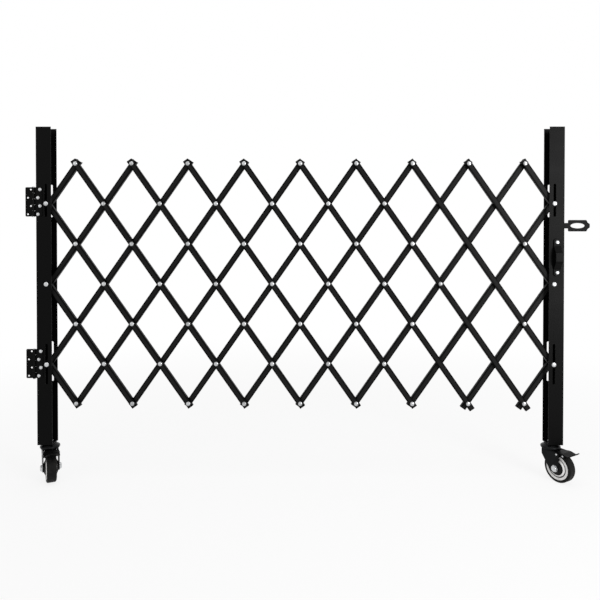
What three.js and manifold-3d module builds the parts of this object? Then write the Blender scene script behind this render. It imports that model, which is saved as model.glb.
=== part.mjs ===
// Folding scissor gate. Two channel posts stand on braked swivel casters and a riveted lattice of
// channel bars spans them. Two butt hinges carry the left post; the right post has a bow handle and a
// padlock tongue. Millimetres, +Z up. The front of the gate faces -Y and the lattice opens along X.
// The origin lies on the floor, under the middle of the whole gate.
import * as THREE from 'three';
import { mergeVertices } from 'three/addons/utils/BufferGeometryUtils.js';
import Module from 'manifold-3d';

const wasm = await Module();
wasm.setup();

// Clearances that all pieces share
const seatGap = 0.3; // between pieces that bear on each other
const runningGap = 0.4; // between pieces that turn or slide on each other
const cutOverrun = 4; // how far a cutter passes the face that it cuts
const weldGap = 1e-4; // corners of a piece that lie closer together are one

// Lattice: pivots are counted in half cells from the left post and in levels from the top
const halfCells = 18;
const lowestLevel = 6;
const middleLevel = 3;
const postLevels = [1, 3, 5];
const pivotPitch = 168; // along a bar
const openAngle = 35; // of a bar from upright, in degrees, as the gate stands
const foldedAngle = 3.6;
const spreadAngle = 45;
// Crossings near the right post that have no rivet, as [half cell, level]
const plainCrossings = [[14, 1], [14, 5], [15, 2], [15, 4], [16, 1], [16, 3], [16, 5]];

// Lattice bars: channels with their web to the front
const barFace = 20;
const barDepth = 14;
const barWall = 1.5;
const barCorner = 2.5;
const barTail = 14.5; // from an end pivot to the square-cut end
const longBarTail = 25; // the same at the lowest pivots next to the right post
const longTailCell = 15; // half cell from which the lowest tails are long

// Rivets of the lattice, each set in its front bar
const rivetHead = 16;
const rivetRise = 3.2;
const rivetTop = 7;
const rivetShank = 6;
const rivetPlay = 0.6; // around the shank in a rear bar
const rivetTail = 11;
const rivetTailRise = 1.6;
const headSides = 8;
const shankSides = 6;

// Posts: channels that open towards the lattice
const postFace = 52;
const postDepth = 50;
const postWall = 2;
const postCorner = 3;
const postLength = 1089;
const pinFromOuterEdge = 34;
const middlePivotUpPost = 552;
const slotWidth = 9;
const slotSpare = 3; // past the pin at either end of its travel
const lowerSlotRunOut = 26; // further length at the upper end of the lower slots
const footPlate = 4;

// Pins of the posts, with the spacer collars that hold the bars in the middle of the channel
const pinHead = 16;
const pinHeadRise = 3;
const pinHeadTop = 9;
const pinNeck = 8; // through the post
const pinCollar = 12;

// Butt hinges on the front of the left post
const hingeLength = 100;
const leafReach = 28; // from the pin's axis to the leaf's edge
const leafThickness = 2.2;
const leafCorner = 4;
const barrel = 9;
const hingePin = 4.6;
const hingePinCap = 1.6;
const hingePinPlay = 0.25;
const knuckles = 5;
const hingeAxisOut = 6; // outside the post's outer edge
const upperHingeUpPost = 833;
const lowerHingeUpPost = 281;
const leafHoleRows = 28;
const leafHole = 5.6;
const leafCountersink = 9.6;
const wallHoleInner = 10; // the columns of holes, from the pin's axis
const wallHoleOuter = 20;
const postRivetInner = 14;
const postRivetOuter = 21;
const leafRivetHead = 12.6;
const leafRivetRise = 2.4;
const leafRivetTop = 6;
const leafRivetShank = 5;
const leafRivetTail = 9;
const leafRivetTailRise = 1.5;

// Bow handle on the front of the right post
const handleBolts = 103; // between the bolts
const handleAbovePivot = 91.5; // from the middle pivot up to the handle's middle
const handleWidth = 24;
const handleStrap = 4;
const handleProud = 22;
const handleFoot = 13; // from a bolt to the end of its foot
const handleFootRound = 9;
const handleLegFoot = 38; // from the middle to where a leg rises
const handleLegTop = 16;
const handleBend = 14;
const handleBoltHead = 13;
const handleBoltRise = 3.6;
const handleBoltTop = 7;
const handleBoltEdge = 1.2;
const handleBoltShank = 7.6;
const handleBoltPlay = 0.3;
const handleNut = 12;
const handleNutHeight = 4.5;

// Padlock tongue through the web of the right post
const tongueUpPost = 752;
const tonguePlate = 3;
const tongueNeckHeight = 19;
const tongueNeckLength = 22.5;
const tongueLength = 74.5;
const tongueHeight = 39.5;
const tongueHeel = 4; // corner radius next to the post
const tongueNose = 4; // corner radius at the nose
const tongueNoseRun = 12; // over which the tongue narrows to its tip
const tongueShoulderRun = 7; // the same from the foot of its steep shoulders
const tongueShoulderHeight = 21;
const tongueTip = 13;
const tongueHoleFromHeel = 32.5; // to the middle of the oval hole
const tongueHoleLength = 49;
const tongueHoleHeight = 18;
const tongueHoleSides = 16;
const tongueFootHeight = 38;
const tongueFootDepth = 18;

// Casters
const wheelDiameter = 100;
const wheelWidth = 32;
const tyreInside = 82;
const tyreShoulder = 4;
const faceSink = 1; // of the wheel's face inside the tyre's widest line
const hubBore = 10.6;
const hubBoss = 24;
const hubSinkInside = 58; // the ring-shaped recess in each face of the wheel
const hubSinkOutside = 66;
const hubSinkDepth = 7;
const casterTrail = 36;
const crownClearance = 4; // over the wheel
const forkPlate = 3;
const forkWidth = 54;
const forkBack = 16; // behind the swivel axis
const forkFront = 23; // the front of the crown, ahead of that axis
const forkLegFront = 50; // the front of the legs
const forkLegShoulder = 16; // below the crown, where the back of a leg turns forwards
const forkBoss = 28;
const forkBend = 6;
const raceHeight = 11;
const raceCup = 66;
const raceCupPlate = 3;
const raceCupWall = 2.6;
const raceCupTop = 40; // the flat top inside the slope
const raceCupDrop = 8; // of the slope
const raceCupSkirt = 12;
const raceRing = 62;
const kingpin = 12;
const kingpinNut = 19; // across the flats
const kingpinNutHeight = 7;
const axleShank = 10;
const axleNut = 19; // across the flats
const axleNutHeight = 7;
const leftCasterTurn = -63.5; // of the trailing direction from +X, in degrees
const rightCasterTurn = -58;
const casterSides = 20;
const boltSides = 10;

// Brake pedal, in the caster's own side view: ahead of the swivel axis
const pedalPlate = 3;
const pedalRootWidth = 44; // between the legs
const pedalWidth = 52;
const pedalToeWidth = 20;
const pedalReach = 103;
const pedalBehindRace = 2.6; // from the race cup to the pedal's root
const pedalWideFrom = 53;
const pedalFlat = 26; // the level stretch at the root
const pedalDipReach = 82;
const pedalDip = 5;
const pedalToeRise = 10; // over the level stretch
const pedalBend = 14;
const pedalToeBend = 8;
const pedalCorner = 6;
const pedalPivotAhead = 41;
const pedalPivotBelowCrown = 5;
const pedalEar = 2.5;
const pedalEarBelowPivot = 8;
const pedalEarBack = 11; // behind the pivot
const pedalStud = 6;
const pedalStudPlay = 0.3;

// Values that follow from the sizes above
const degree = Math.PI / 180;
const halfCellWidth = pivotPitch * Math.sin(openAngle * degree);
const levelHeight = pivotPitch * Math.cos(openAngle * degree);
const pinX = halfCells * halfCellWidth / 2;
const wheelRadius = wheelDiameter / 2;
const crownUnderside = wheelDiameter + crownClearance;
const raceTop = crownUnderside + forkPlate + raceHeight;
const casterHeight = raceTop + runningGap + raceCupPlate;
const postFoot = casterHeight + seatGap;
const middlePivotZ = postFoot + middlePivotUpPost;
const frontWeb = -(runningGap / 2 + barDepth); // front faces of the two layers of bars
const rearWeb = runningGap / 2;
const postFront = -postDepth / 2;
const hingeAxisY = postFront - seatGap - barrel / 2;

// Materials
const finish = (color, roughness, metalness) => new THREE.MeshStandardMaterial({ color, roughness, metalness });
const blackCoat = finish(0x17181a, 0.42, 0.3);
const blackBarCoat = finish(0x202124, 0.4, 0.3);
const zinc = finish(0xc9ccd0, 0.35, 0.9);
const darkSteel = finish(0x303236, 0.45, 0.7);
const blackRubber = finish(0x121212, 0.8, 0);
const whiteNylon = finish(0xe4e4df, 0.5, 0);

// Shared shape helpers

// Outline points from corners [x, y, radius], each rounded corner as an arc of a few steps.
function rounded(corners, steps = 2) {
  const at = (index) => new THREE.Vector2(...corners[(index + corners.length) % corners.length]);
  return corners.flatMap(([, , radius = 0], index) => {
    const corner = at(index);
    if (radius === 0) return [corner];
    const before = at(index - 1).sub(corner).normalize();
    const after = at(index + 1).sub(corner).normalize();
    const halfAngle = before.angleTo(after) / 2;
    const inward = before.clone().add(after).normalize();
    const centre = corner.clone().addScaledVector(inward, radius / Math.sin(halfAngle));
    const start = corner.clone().addScaledVector(before, radius / Math.tan(halfAngle)).sub(centre);
    const sweep = (Math.PI - 2 * halfAngle) * Math.sign(after.cross(before));
    const arc = Array.from({ length: steps + 1 }, (_, step) => sweep * step / steps);
    return arc.map((angle) => start.clone().rotateAround(new THREE.Vector2(), angle).add(centre));
  });
}

// A prism of an outline: the outline lies in XY and the prism rises along +Z from 0.
function prism(points, height) {
  return new THREE.ExtrudeGeometry(new THREE.Shape(points), { depth: height, bevelEnabled: false });
}

// A plate seen from the front: the outline lies in XZ, from the plane y = front to y = front + thickness.
function frontPlate(points, front, thickness) {
  return prism(points, thickness).rotateX(Math.PI / 2).translate(0, front + thickness, 0);
}

// A round piece whose profile [radius, y] turns about the Y axis, as pins, rivets and wheels do here.
function turned(profile, sides) {
  return new THREE.LatheGeometry(profile.map(([radius, along]) => new THREE.Vector2(radius, along)), sides);
}

// The same, turned about the Z axis.
const turnedUpright = (profile, sides) => turned(profile, sides).rotateX(Math.PI / 2);

// A plain rod along Y, and one along Z.
const rodY = (radius, from, to, sides) => turned([[0, from], [radius, from], [radius, to], [0, to]], sides);
const rodZ = (radius, from, to, sides) => rodY(radius, from, to, sides).rotateX(Math.PI / 2);

// A box between two corners.
function block([x0, y0, z0], [x1, y1, z1]) {
  const size = [x1 - x0, y1 - y0, z1 - z0].map(Math.abs);
  return new THREE.BoxGeometry(...size).translate((x0 + x1) / 2, (y0 + y1) / 2, (z0 + z1) / 2);
}

// The outline of a slot with round ends, which runs along the second axis from low to high.
function slotOutline(width, low, high, steps = 2) {
  const shape = new THREE.Shape();
  shape.absarc(0, high - width / 2, width / 2, 0, Math.PI);
  shape.absarc(0, low + width / 2, width / 2, Math.PI, 2 * Math.PI);
  return shape.extractPoints(steps).shape;
}

// A strip of even thickness that follows a bent centre line [x, y, bend radius], as an outline.
function bentStrip(line, thickness) {
  const sideLine = (side) => line.map(([x, y, radius = 0], index) => {
    const here = new THREE.Vector2(x, y);
    const last = new THREE.Vector2(...line[Math.max(index - 1, 0)]);
    const next = new THREE.Vector2(...line[Math.min(index + 1, line.length - 1)]);
    const along = here.clone().sub(last).normalize();
    const onward = next.clone().sub(here).normalize();
    if (index === 0) along.copy(onward);
    if (index === line.length - 1) onward.copy(along);
    const normal = new THREE.Vector2(-along.y - onward.y, along.x + onward.x).normalize();
    const stretch = thickness / 2 / Math.abs(normal.dot(new THREE.Vector2(-along.y, along.x)));
    const turn = Math.sign(along.cross(onward));
    const place = here.addScaledVector(normal, side * stretch);
    return [place.x, place.y, radius === 0 ? 0 : radius - side * turn * thickness / 2];
  });
  return rounded([...sideLine(1), ...sideLine(-1).reverse()]);
}

// A closed geometry as a solid that can be joined and cut, its faces turned outwards.
function solid(geometry) {
  const bare = geometry.index ? geometry.toNonIndexed() : geometry.clone();
  bare.deleteAttribute('normal');
  bare.deleteAttribute('uv');
  const welded = mergeVertices(bare, weldGap);
  const triVerts = Uint32Array.from(welded.index.array);
  const place = (index) => new THREE.Vector3().fromBufferAttribute(welded.attributes.position, index);
  let volume = 0;
  for (let t = 0; t < triVerts.length; t += 3) {
    volume += place(triVerts[t]).dot(place(triVerts[t + 1]).cross(place(triVerts[t + 2])));
  }
  if (volume < 0) triVerts.reverse();
  const kept = [];
  for (let t = 0; t < triVerts.length; t += 3) {
    const [a, b, c] = triVerts.subarray(t, t + 3);
    if (a !== b && b !== c && c !== a) kept.push(a, b, c);
  }
  return new wasm.Manifold(new wasm.Mesh({
    numProp: 3,
    vertProperties: Float32Array.from(welded.attributes.position.array),
    triVerts: Uint32Array.from(kept),
  }));
}

const joined = (first, ...others) => others.reduce((sum, other) => sum.add(solid(other)), solid(first));
const cut = (body, ...cutters) => cutters.reduce((rest, cutter) => rest.subtract(solid(cutter)), body);

// A named mesh of a solid, ready to be placed.
function piece(name, body, material) {
  const { vertProperties, triVerts } = body.getMesh();
  const geometry = new THREE.BufferGeometry();
  geometry.setAttribute('position', new THREE.BufferAttribute(Float32Array.from(vertProperties), 3));
  geometry.setIndex(Array.from(triVerts));
  geometry.computeVertexNormals();
  const mesh = new THREE.Mesh(geometry, material);
  mesh.name = name;
  return mesh;
}

// A length of channel along +Z: the web's outer face lies at y = 0 and the flanges reach y = depth.
function channel(face, depth, wall, corner, length) {
  const half = face / 2;
  const outline = rounded([
    [-half, depth], [-half, 0, corner], [half, 0, corner], [half, depth],
    [half - wall, depth], [half - wall, wall], [wall - half, wall], [wall - half, depth],
  ]);
  return prism(outline, length);
}

// Lattice

const isPlain = (cell, level) => plainCrossings.some(([c, l]) => c === cell && l === level);
const isPost = (cell) => cell === 0 || cell === halfCells;
const pivotPlace = (cell, level) => [
  cell * halfCellWidth - pinX,
  middlePivotZ + (middleLevel - level) * levelHeight,
];

// A domed rivet through both layers: its head is on the front web and its tail inside the rear channel.
function latticeRivet() {
  const inWeb = frontWeb + barWall / 2;
  const tailFoot = rearWeb + barWall + seatGap;
  const head = turned([
    [0, frontWeb - rivetRise],
    [rivetTop / 2, frontWeb - rivetRise],
    [rivetHead / 2, frontWeb],
    [rivetHead / 2, inWeb],
    [0, inWeb],
  ], headSides);
  const shank = turned([
    [0, inWeb],
    [rivetShank / 2, inWeb],
    [rivetShank / 2, tailFoot],
    [rivetTail / 2, tailFoot + rivetTailRise],
    [0, tailFoot + rivetTailRise],
  ], shankSides);
  return [head, shank];
}

// A bar hangs from its top pivot, at the origin, with one pivot a pitch down to its lowest.
function latticeBar(name, cells, topLevel, layer) {
  const isFront = layer === 'front';
  const web = isFront ? frontWeb : rearWeb;
  const bottomLevel = topLevel + cells.length - 1;
  const bottomCell = cells.at(-1);
  const isLong = bottomLevel === lowestLevel && bottomCell >= longTailCell;
  const below = (cells.length - 1) * pivotPitch + (isLong ? longBarTail : barTail);
  const stock = channel(barFace, barDepth, barWall, barCorner, below + barTail).translate(0, web, -below);
  const rivets = [];
  const holes = [];
  cells.forEach((cell, index) => {
    if (isPlain(cell, topLevel + index)) return;
    const isRiveted = isFront && !isPost(cell);
    const hole = rodY(rivetShank / 2 + rivetPlay, web - cutOverrun, web + barWall + cutOverrun, shankSides);
    const made = isRiveted ? latticeRivet() : [hole];
    (isRiveted ? rivets : holes).push(...made.map((form) => form.translate(0, 0, -index * pivotPitch)));
  });
  const bar = piece(name, cut(joined(stock, ...rivets), ...holes), blackBarCoat);
  const [x, z] = pivotPlace(cells[0], topLevel);
  bar.position.set(x, 0, z);
  bar.rotation.y = (isFront ? -1 : 1) * openAngle * degree;
  return bar;
}

// Front bars step one half cell to the right at each level down, rear bars one to the left.
function lattice() {
  const group = new THREE.Group();
  const numbered = (layer, count) => `${layer}_bar_${String(count).padStart(2, '0')}`;
  const levels = Array.from({ length: lowestLevel + 1 }, (_, level) => level);
  const inside = (cell) => cell >= 0 && cell <= halfCells;
  let count = 0;
  for (let start = 1 - lowestLevel; start < halfCells; start += 2) {
    const run = levels.filter((level) => inside(start + level));
    count += 1;
    group.add(latticeBar(numbered('front', count), run.map((level) => start + level), run[0], 'front'));
  }
  count = 0;
  for (let start = 1; start < halfCells + lowestLevel; start += 2) {
    const run = levels.filter((level) => inside(start - level));
    count += 1;
    group.add(latticeBar(numbered('rear', count), run.map((level) => start - level), run[0], 'rear'));
  }
  return group;
}

// Posts. In a post's own frame x = 0 is the line of its pins and z = 0 its lower end.
// side is -1 for the left post and 1 for the right one, and x = side * something points outwards.

const pivotUpPost = (level, angle) => middlePivotUpPost
  + (middleLevel - level) * pivotPitch * Math.cos(angle * degree);

// The slot for the sliding pin of a level, as far as the pin travels between folded and spread.
function pinSlot(level) {
  const ends = [foldedAngle, spreadAngle].map((angle) => pivotUpPost(level, angle));
  const spare = slotWidth / 2 + slotSpare;
  const runOut = level > middleLevel ? lowerSlotRunOut : 0;
  const outline = slotOutline(slotWidth, Math.min(...ends) - spare, Math.max(...ends) + spare + runOut);
  return frontPlate(outline, postFront - cutOverrun, postDepth + 2 * cutOverrun);
}

// A hole through the front wall of a post only.
const frontHole = (radius, x, z) => rodY(radius, postFront - cutOverrun, postFront + postWall + cutOverrun, headSides)
  .translate(x, 0, z);

function post(name, side, extraCuts) {
  const stock = channel(postDepth, postFace, postWall, postCorner, postLength)
    .rotateZ(side * Math.PI / 2)
    .translate(side * pinFromOuterEdge, 0, 0);
  const [upperLevel, middle, lowerLevel] = postLevels;
  const middleHole = rodY(pinNeck / 2 + seatGap, postFront - cutOverrun, cutOverrun - postFront, headSides)
    .translate(0, 0, pivotUpPost(middle, openAngle));
  return piece(name, cut(solid(stock), pinSlot(upperLevel), pinSlot(lowerLevel), middleHole, ...extraCuts), blackCoat);
}

// The plate that closes the post's lower end and takes the caster's kingpin.
function footOf(name, side) {
  const across = postDepth / 2 - postWall - seatGap;
  const plate = block(
    [side * (pinFromOuterEdge - postWall - seatGap), -across, 0],
    [side * (pinFromOuterEdge - postFace), across, footPlate],
  );
  const hole = rodZ(kingpin / 2 + seatGap, -cutOverrun, footPlate + cutOverrun, boltSides);
  return piece(name, cut(solid(plate), hole), blackCoat);
}

// A headed pin through both walls of a post. Its collars fill the space between walls and bars.
function postPin(name, level) {
  const wallOut = postDepth / 2 + seatGap;
  const wallIn = postDepth / 2 - postWall - seatGap;
  const pin = turned([
    [0, -wallOut - pinHeadRise],
    [pinHeadTop / 2, -wallOut - pinHeadRise],
    [pinHead / 2, -wallOut],
    [pinNeck / 2, -wallOut],
    [pinNeck / 2, -wallIn],
    [pinCollar / 2, -wallIn],
    [pinCollar / 2, frontWeb - seatGap],
    [rivetShank / 2, frontWeb - seatGap],
    [rivetShank / 2, rearWeb + barWall + seatGap],
    [pinCollar / 2, rearWeb + barWall + seatGap],
    [pinCollar / 2, wallIn],
    [pinNeck / 2, wallIn],
    [pinNeck / 2, wallOut],
    [pinHead / 2, wallOut],
    [pinHeadTop / 2, wallOut + pinHeadRise],
    [0, wallOut + pinHeadRise],
  ], headSides);
  const mesh = piece(name, solid(pin), zinc);
  mesh.position.z = pivotUpPost(level, openAngle);
  return mesh;
}

const pinNames = ['upper_slide_pin', 'middle_pivot_pin', 'lower_slide_pin'];
const postPins = (sideName) => postLevels.map((level, index) => postPin(`${sideName}_${pinNames[index]}`, level));

// Hinges. In a hinge's own frame the pin's axis is the Z axis and the leaves lie behind it.

// Holes or rivets stand in staggered rows, on alternate columns.
const leafRowShares = [-1.5, -0.5, 0.5, 1.5];
const staggered = (...columns) => leafRowShares.map((share, index) => [columns[index % 2], share * leafHoleRows]);

// A leaf with its knuckles. direction is 1 towards the post and -1 towards the wall.
function hingeLeaf(direction, ownKnuckles, extras, cuts) {
  const back = barrel / 2;
  const front = back - leafThickness;
  const edge = back + runningGap;
  const half = hingeLength / 2;
  const outline = rounded([
    [direction * edge, -half], [direction * leafReach, -half, leafCorner],
    [direction * leafReach, half, leafCorner], [direction * edge, half],
  ]);
  const parts = [frontPlate(outline, front, leafThickness)];
  const knuckle = hingeLength / knuckles;
  for (const index of ownKnuckles) {
    const low = index * knuckle - half + (index === 0 ? 0 : runningGap / 2);
    const high = (index + 1) * knuckle - half - (index === knuckles - 1 ? 0 : runningGap / 2);
    parts.push(rodZ(barrel / 2, low, high, boltSides));
    parts.push(block([0, front, low], [direction * (edge + leafThickness), back, high]));
  }
  const bore = rodZ(hingePin / 2 + hingePinPlay, -half - cutOverrun, half + cutOverrun, headSides);
  return cut(joined(...parts, ...extras), bore, ...cuts);
}

function wallLeaf(name) {
  const back = barrel / 2;
  const front = back - leafThickness;
  const sink = (leafCountersink - leafHole) / 2;
  const holes = staggered(wallHoleOuter, wallHoleInner).map(([column, row]) => turned([
    [0, front - seatGap],
    [leafCountersink / 2 + seatGap, front - seatGap],
    [leafHole / 2, front + sink - seatGap],
    [leafHole / 2, back + cutOverrun],
    [0, back + cutOverrun],
  ], headSides).translate(-column, 0, row));
  return piece(name, hingeLeaf(-1, [0, 2, 4], [], holes), blackCoat);
}

// A rivet through a leaf and the post's front wall, with its tail inside the post.
function leafRivet(column, row) {
  const back = barrel / 2;
  const front = back - leafThickness;
  const inLeaf = front + leafThickness / 2;
  const tail = back + seatGap + postWall + seatGap;
  const head = turned([
    [0, front - leafRivetRise],
    [leafRivetTop / 2, front - leafRivetRise],
    [leafRivetHead / 2, front],
    [leafRivetHead / 2, inLeaf],
    [0, inLeaf],
  ], headSides);
  const shank = turned([
    [0, inLeaf],
    [leafRivetShank / 2, inLeaf],
    [leafRivetShank / 2, tail],
    [leafRivetTail / 2, tail + leafRivetTailRise],
    [0, tail + leafRivetTailRise],
  ], shankSides);
  return [head, shank].map((form) => form.translate(column, 0, row));
}

function postLeaf(name) {
  const rivets = staggered(postRivetInner, postRivetOuter).flatMap(([column, row]) => leafRivet(column, row));
  return piece(name, hingeLeaf(1, [1, 3], rivets, []), blackCoat);
}

function hingePinPiece(name) {
  const end = hingeLength / 2 + seatGap;
  const cap = barrel / 2 - seatGap;
  return piece(name, solid(turnedUpright([
    [0, -end - hingePinCap],
    [cap, -end - hingePinCap],
    [cap, -end],
    [hingePin / 2, -end],
    [hingePin / 2, end],
    [cap, end],
    [cap, end + hingePinCap],
    [0, end + hingePinCap],
  ], headSides)), zinc);
}

function hinge(prefix, height) {
  const group = new THREE.Group();
  group.add(wallLeaf(`${prefix}_wall_leaf`), postLeaf(`${prefix}_post_leaf`), hingePinPiece(`${prefix}_hinge_pin`));
  group.position.set(-pinFromOuterEdge - hingeAxisOut, hingeAxisY, height);
  return group;
}

// The holes in the left post for the rivets of both leaves.
function leafRivetHoles() {
  return [upperHingeUpPost, lowerHingeUpPost].flatMap((height) => staggered(postRivetInner, postRivetOuter)
    .map(([column, row]) => frontHole(
      leafRivetShank / 2 + seatGap,
      column - pinFromOuterEdge - hingeAxisOut,
      height + row,
    )));
}

// Handle. Its frame lies on the post's front face, in the middle between the bolts.

const handleX = pinFromOuterEdge - postFace / 2;
const handleUpPost = middlePivotUpPost + handleAbovePivot;

function bowHandle() {
  const end = handleBolts / 2 + handleFoot;
  const footY = seatGap + handleStrap / 2;
  const gripY = handleProud - handleStrap / 2;
  // The side view runs up the post, with its distance from the post's face as the second value.
  const line = [
    [-end, footY], [-handleLegFoot, footY, handleBend], [-handleLegTop, gripY, handleBend],
    [handleLegTop, gripY, handleBend], [handleLegFoot, footY, handleBend], [end, footY],
  ];
  const strap = prism(bentStrip(line, handleStrap), handleWidth)
    .translate(0, 0, -handleWidth / 2)
    .rotateX(Math.PI)
    .rotateY(-Math.PI / 2);
  const half = handleWidth / 2;
  const face = rounded([
    [-half, -end, handleFootRound], [half, -end, handleFootRound],
    [half, end, handleFootRound], [-half, end, handleFootRound],
  ], 3);
  const envelope = frontPlate(face, -handleProud - cutOverrun, handleProud + 2 * cutOverrun);
  const holes = [-1, 1].map((up) => rodY(
    handleBoltShank / 2 + handleBoltPlay,
    -handleStrap - cutOverrun,
    cutOverrun,
    headSides,
  ).translate(0, 0, up * handleBolts / 2));
  return piece('pull_handle', cut(solid(strap).intersect(solid(envelope)), ...holes), blackCoat);
}

function handleBolt(name, up) {
  const head = seatGap + handleStrap + seatGap;
  const inside = postWall + seatGap;
  const bolt = piece(name, solid(turned([
    [0, -head - handleBoltRise],
    [handleBoltTop / 2, -head - handleBoltRise],
    [handleBoltHead / 2, -head - handleBoltEdge],
    [handleBoltHead / 2, -head],
    [handleBoltShank / 2, -head],
    [handleBoltShank / 2, inside],
    [handleNut / 2, inside],
    [handleNut / 2, inside + handleNutHeight],
    [0, inside + handleNutHeight],
  ], headSides)), zinc);
  bolt.position.z = up * handleBolts / 2;
  return bolt;
}

// Padlock tongue. Its frame lies on the outer face of the right post's web, and x points outwards.

function padlockTongue() {
  const inside = -postWall - seatGap;
  const end = tongueNeckLength + tongueLength;
  const half = tongueHeight / 2;
  const neck = tongueNeckHeight / 2;
  const shoulder = tongueShoulderHeight / 2;
  const tip = tongueTip / 2;
  const outline = rounded([
    [inside, -neck], [tongueNeckLength, -neck], [tongueNeckLength, -half, tongueHeel],
    [end - tongueNoseRun, -half, tongueNose], [end - tongueShoulderRun, -shoulder], [end, -tip, tongueNose],
    [end, tip, tongueNose], [end - tongueShoulderRun, shoulder], [end - tongueNoseRun, half, tongueNose],
    [tongueNeckLength, half, tongueHeel], [tongueNeckLength, neck], [inside, neck],
  ], 4);
  const plate = frontPlate(outline, -tonguePlate / 2, tonguePlate);
  const foot = block(
    [inside - tonguePlate, -tongueFootDepth / 2, -tongueFootHeight / 2],
    [inside, tongueFootDepth / 2, tongueFootHeight / 2],
  );
  const middle = tongueNeckLength + tongueHoleFromHeel;
  const oval = new THREE.EllipseCurve(0, 0, tongueHoleLength / 2, tongueHoleHeight / 2)
    .getPoints(tongueHoleSides)
    .slice(1);
  const hole = frontPlate(oval, -cutOverrun, 2 * cutOverrun).translate(middle, 0, 0);
  return piece('padlock_tongue', cut(joined(plate, foot), hole), blackCoat);
}

// The slot that the tongue's neck passes in the post's web.
function tongueSlot() {
  const half = tongueNeckHeight / 2 + seatGap;
  const across = tonguePlate / 2 + seatGap;
  return block(
    [pinFromOuterEdge - postWall - cutOverrun / 2, -across, tongueUpPost - half],
    [pinFromOuterEdge + cutOverrun, across, tongueUpPost + half],
  );
}

// Casters. In a caster's own frame z = 0 is the floor, the swivel axis is the Z axis and the wheel
// trails along +X.

// The ends of a slope that stands an inset inside the slope round the race cup's top: on the level of its
// upper end and at the radius of its lower end.
function cupSlope(inset, level, radius) {
  const run = (raceCup - raceCupTop) / 2;
  const reach = inset * Math.hypot(run, raceCupDrop);
  return [
    [raceCupTop / 2 + ((casterHeight - level) * run - reach) / raceCupDrop, level],
    [radius, casterHeight - ((radius - raceCupTop / 2) * raceCupDrop + reach) / run],
  ];
}

function raceCupPiece(name) {
  const outside = raceCup / 2;
  const inside = outside - raceCupWall;
  return piece(name, solid(turnedUpright([
    [kingpin / 2 + seatGap, casterHeight - raceCupPlate],
    [kingpin / 2 + seatGap, casterHeight],
    ...cupSlope(0, casterHeight, outside),
    [outside, casterHeight - raceCupSkirt],
    [inside, casterHeight - raceCupSkirt],
    ...cupSlope(raceCupWall, casterHeight - raceCupPlate, inside).reverse(),
    [kingpin / 2 + seatGap, casterHeight - raceCupPlate],
  ], casterSides)), darkSteel);
}

// A hexagon nut or bolt head along Y.
const hexagon = (flats, from, to) => rodY(flats / 2 / Math.cos(30 * degree), from, to, 6);

// The kingpin holds the caster to the post's foot plate: its head above the plate, its nut under the crown.
function kingpinPiece(name) {
  const headFoot = postFoot + footPlate + seatGap;
  const nutTop = crownUnderside - seatGap;
  const head = hexagon(kingpinNut, headFoot, headFoot + kingpinNutHeight).rotateX(Math.PI / 2);
  const nut = hexagon(kingpinNut, nutTop - kingpinNutHeight, nutTop).rotateX(Math.PI / 2);
  const shank = rodZ(kingpin / 2, nutTop - kingpinNutHeight / 2, headFoot + kingpinNutHeight / 2, boltSides);
  return piece(name, joined(head, shank, nut), zinc);
}

function fork(name) {
  const across = forkWidth / 2;
  const crownTop = crownUnderside + forkPlate;
  const crown = block([-forkBack, -across, crownUnderside], [forkFront, across, crownTop]);
  const ringInset = raceCupWall + runningGap;
  const ringRadius = raceCup / 2 - ringInset;
  const ring = turnedUpright([
    [0, crownUnderside],
    [raceRing / 2, crownUnderside],
    [raceRing / 2, casterHeight - raceCupSkirt - runningGap],
    [ringRadius, casterHeight - raceCupSkirt - runningGap],
    ...cupSlope(ringInset, raceTop, ringRadius).reverse(),
    [0, raceTop],
  ], casterSides);
  const boss = forkBoss / 2;
  const legOutline = rounded([
    [-forkBack, crownTop],
    [-forkBack, crownUnderside - forkLegShoulder, boss],
    [casterTrail - boss - forkBend / 2, wheelRadius - boss, boss],
    [casterTrail + boss, wheelRadius - boss, boss],
    [forkLegFront, crownUnderside, forkBend],
    [forkFront, crownTop],
  ], 3);
  const legs = [-across, across - forkPlate].map((front) => frontPlate(legOutline, front, forkPlate));
  const pedalPivotZ = crownUnderside - pedalPivotBelowCrown;
  const axleHole = rodY(axleShank / 2 + seatGap, -forkWidth, forkWidth, boltSides)
    .translate(casterTrail, 0, wheelRadius);
  const studHole = rodY(pedalStud / 2 + pedalStudPlay, -forkWidth, forkWidth, headSides)
    .translate(pedalPivotAhead, 0, pedalPivotZ);
  const kingpinHole = rodZ(
    kingpin / 2 + runningGap,
    crownUnderside - cutOverrun,
    raceTop + cutOverrun,
    boltSides,
  );
  return piece(name, cut(joined(crown, ring, ...legs), axleHole, studHole, kingpinHole), darkSteel);
}

// Half profiles of the wheel are written for its +Y face and mirrored to the other.
function mirroredRing(halfProfile) {
  const other = halfProfile.map(([radius, along]) => [radius, -along]).reverse();
  return [...halfProfile, ...other, halfProfile[0]];
}

function tyre(name) {
  const half = wheelWidth / 2;
  const inner = tyreInside / 2;
  return piece(name, solid(turned(mirroredRing([
    [inner, half - faceSink],
    [wheelRadius - tyreShoulder, half],
    [wheelRadius, half - tyreShoulder],
  ]), casterSides)), blackRubber);
}

function wheelHub(name) {
  const half = wheelWidth / 2;
  const boss = forkWidth / 2 - forkPlate - runningGap;
  const rim = tyreInside / 2 - seatGap;
  return piece(name, solid(turned(mirroredRing([
    [hubBore / 2, boss],
    [hubBoss / 2, boss],
    [hubSinkInside / 2, half - faceSink],
    [hubSinkInside / 2, half - hubSinkDepth],
    [hubSinkOutside / 2, half - hubSinkDepth],
    [hubSinkOutside / 2, half - faceSink],
    [rim, half - faceSink],
  ]), casterSides)), whiteNylon);
}

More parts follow.
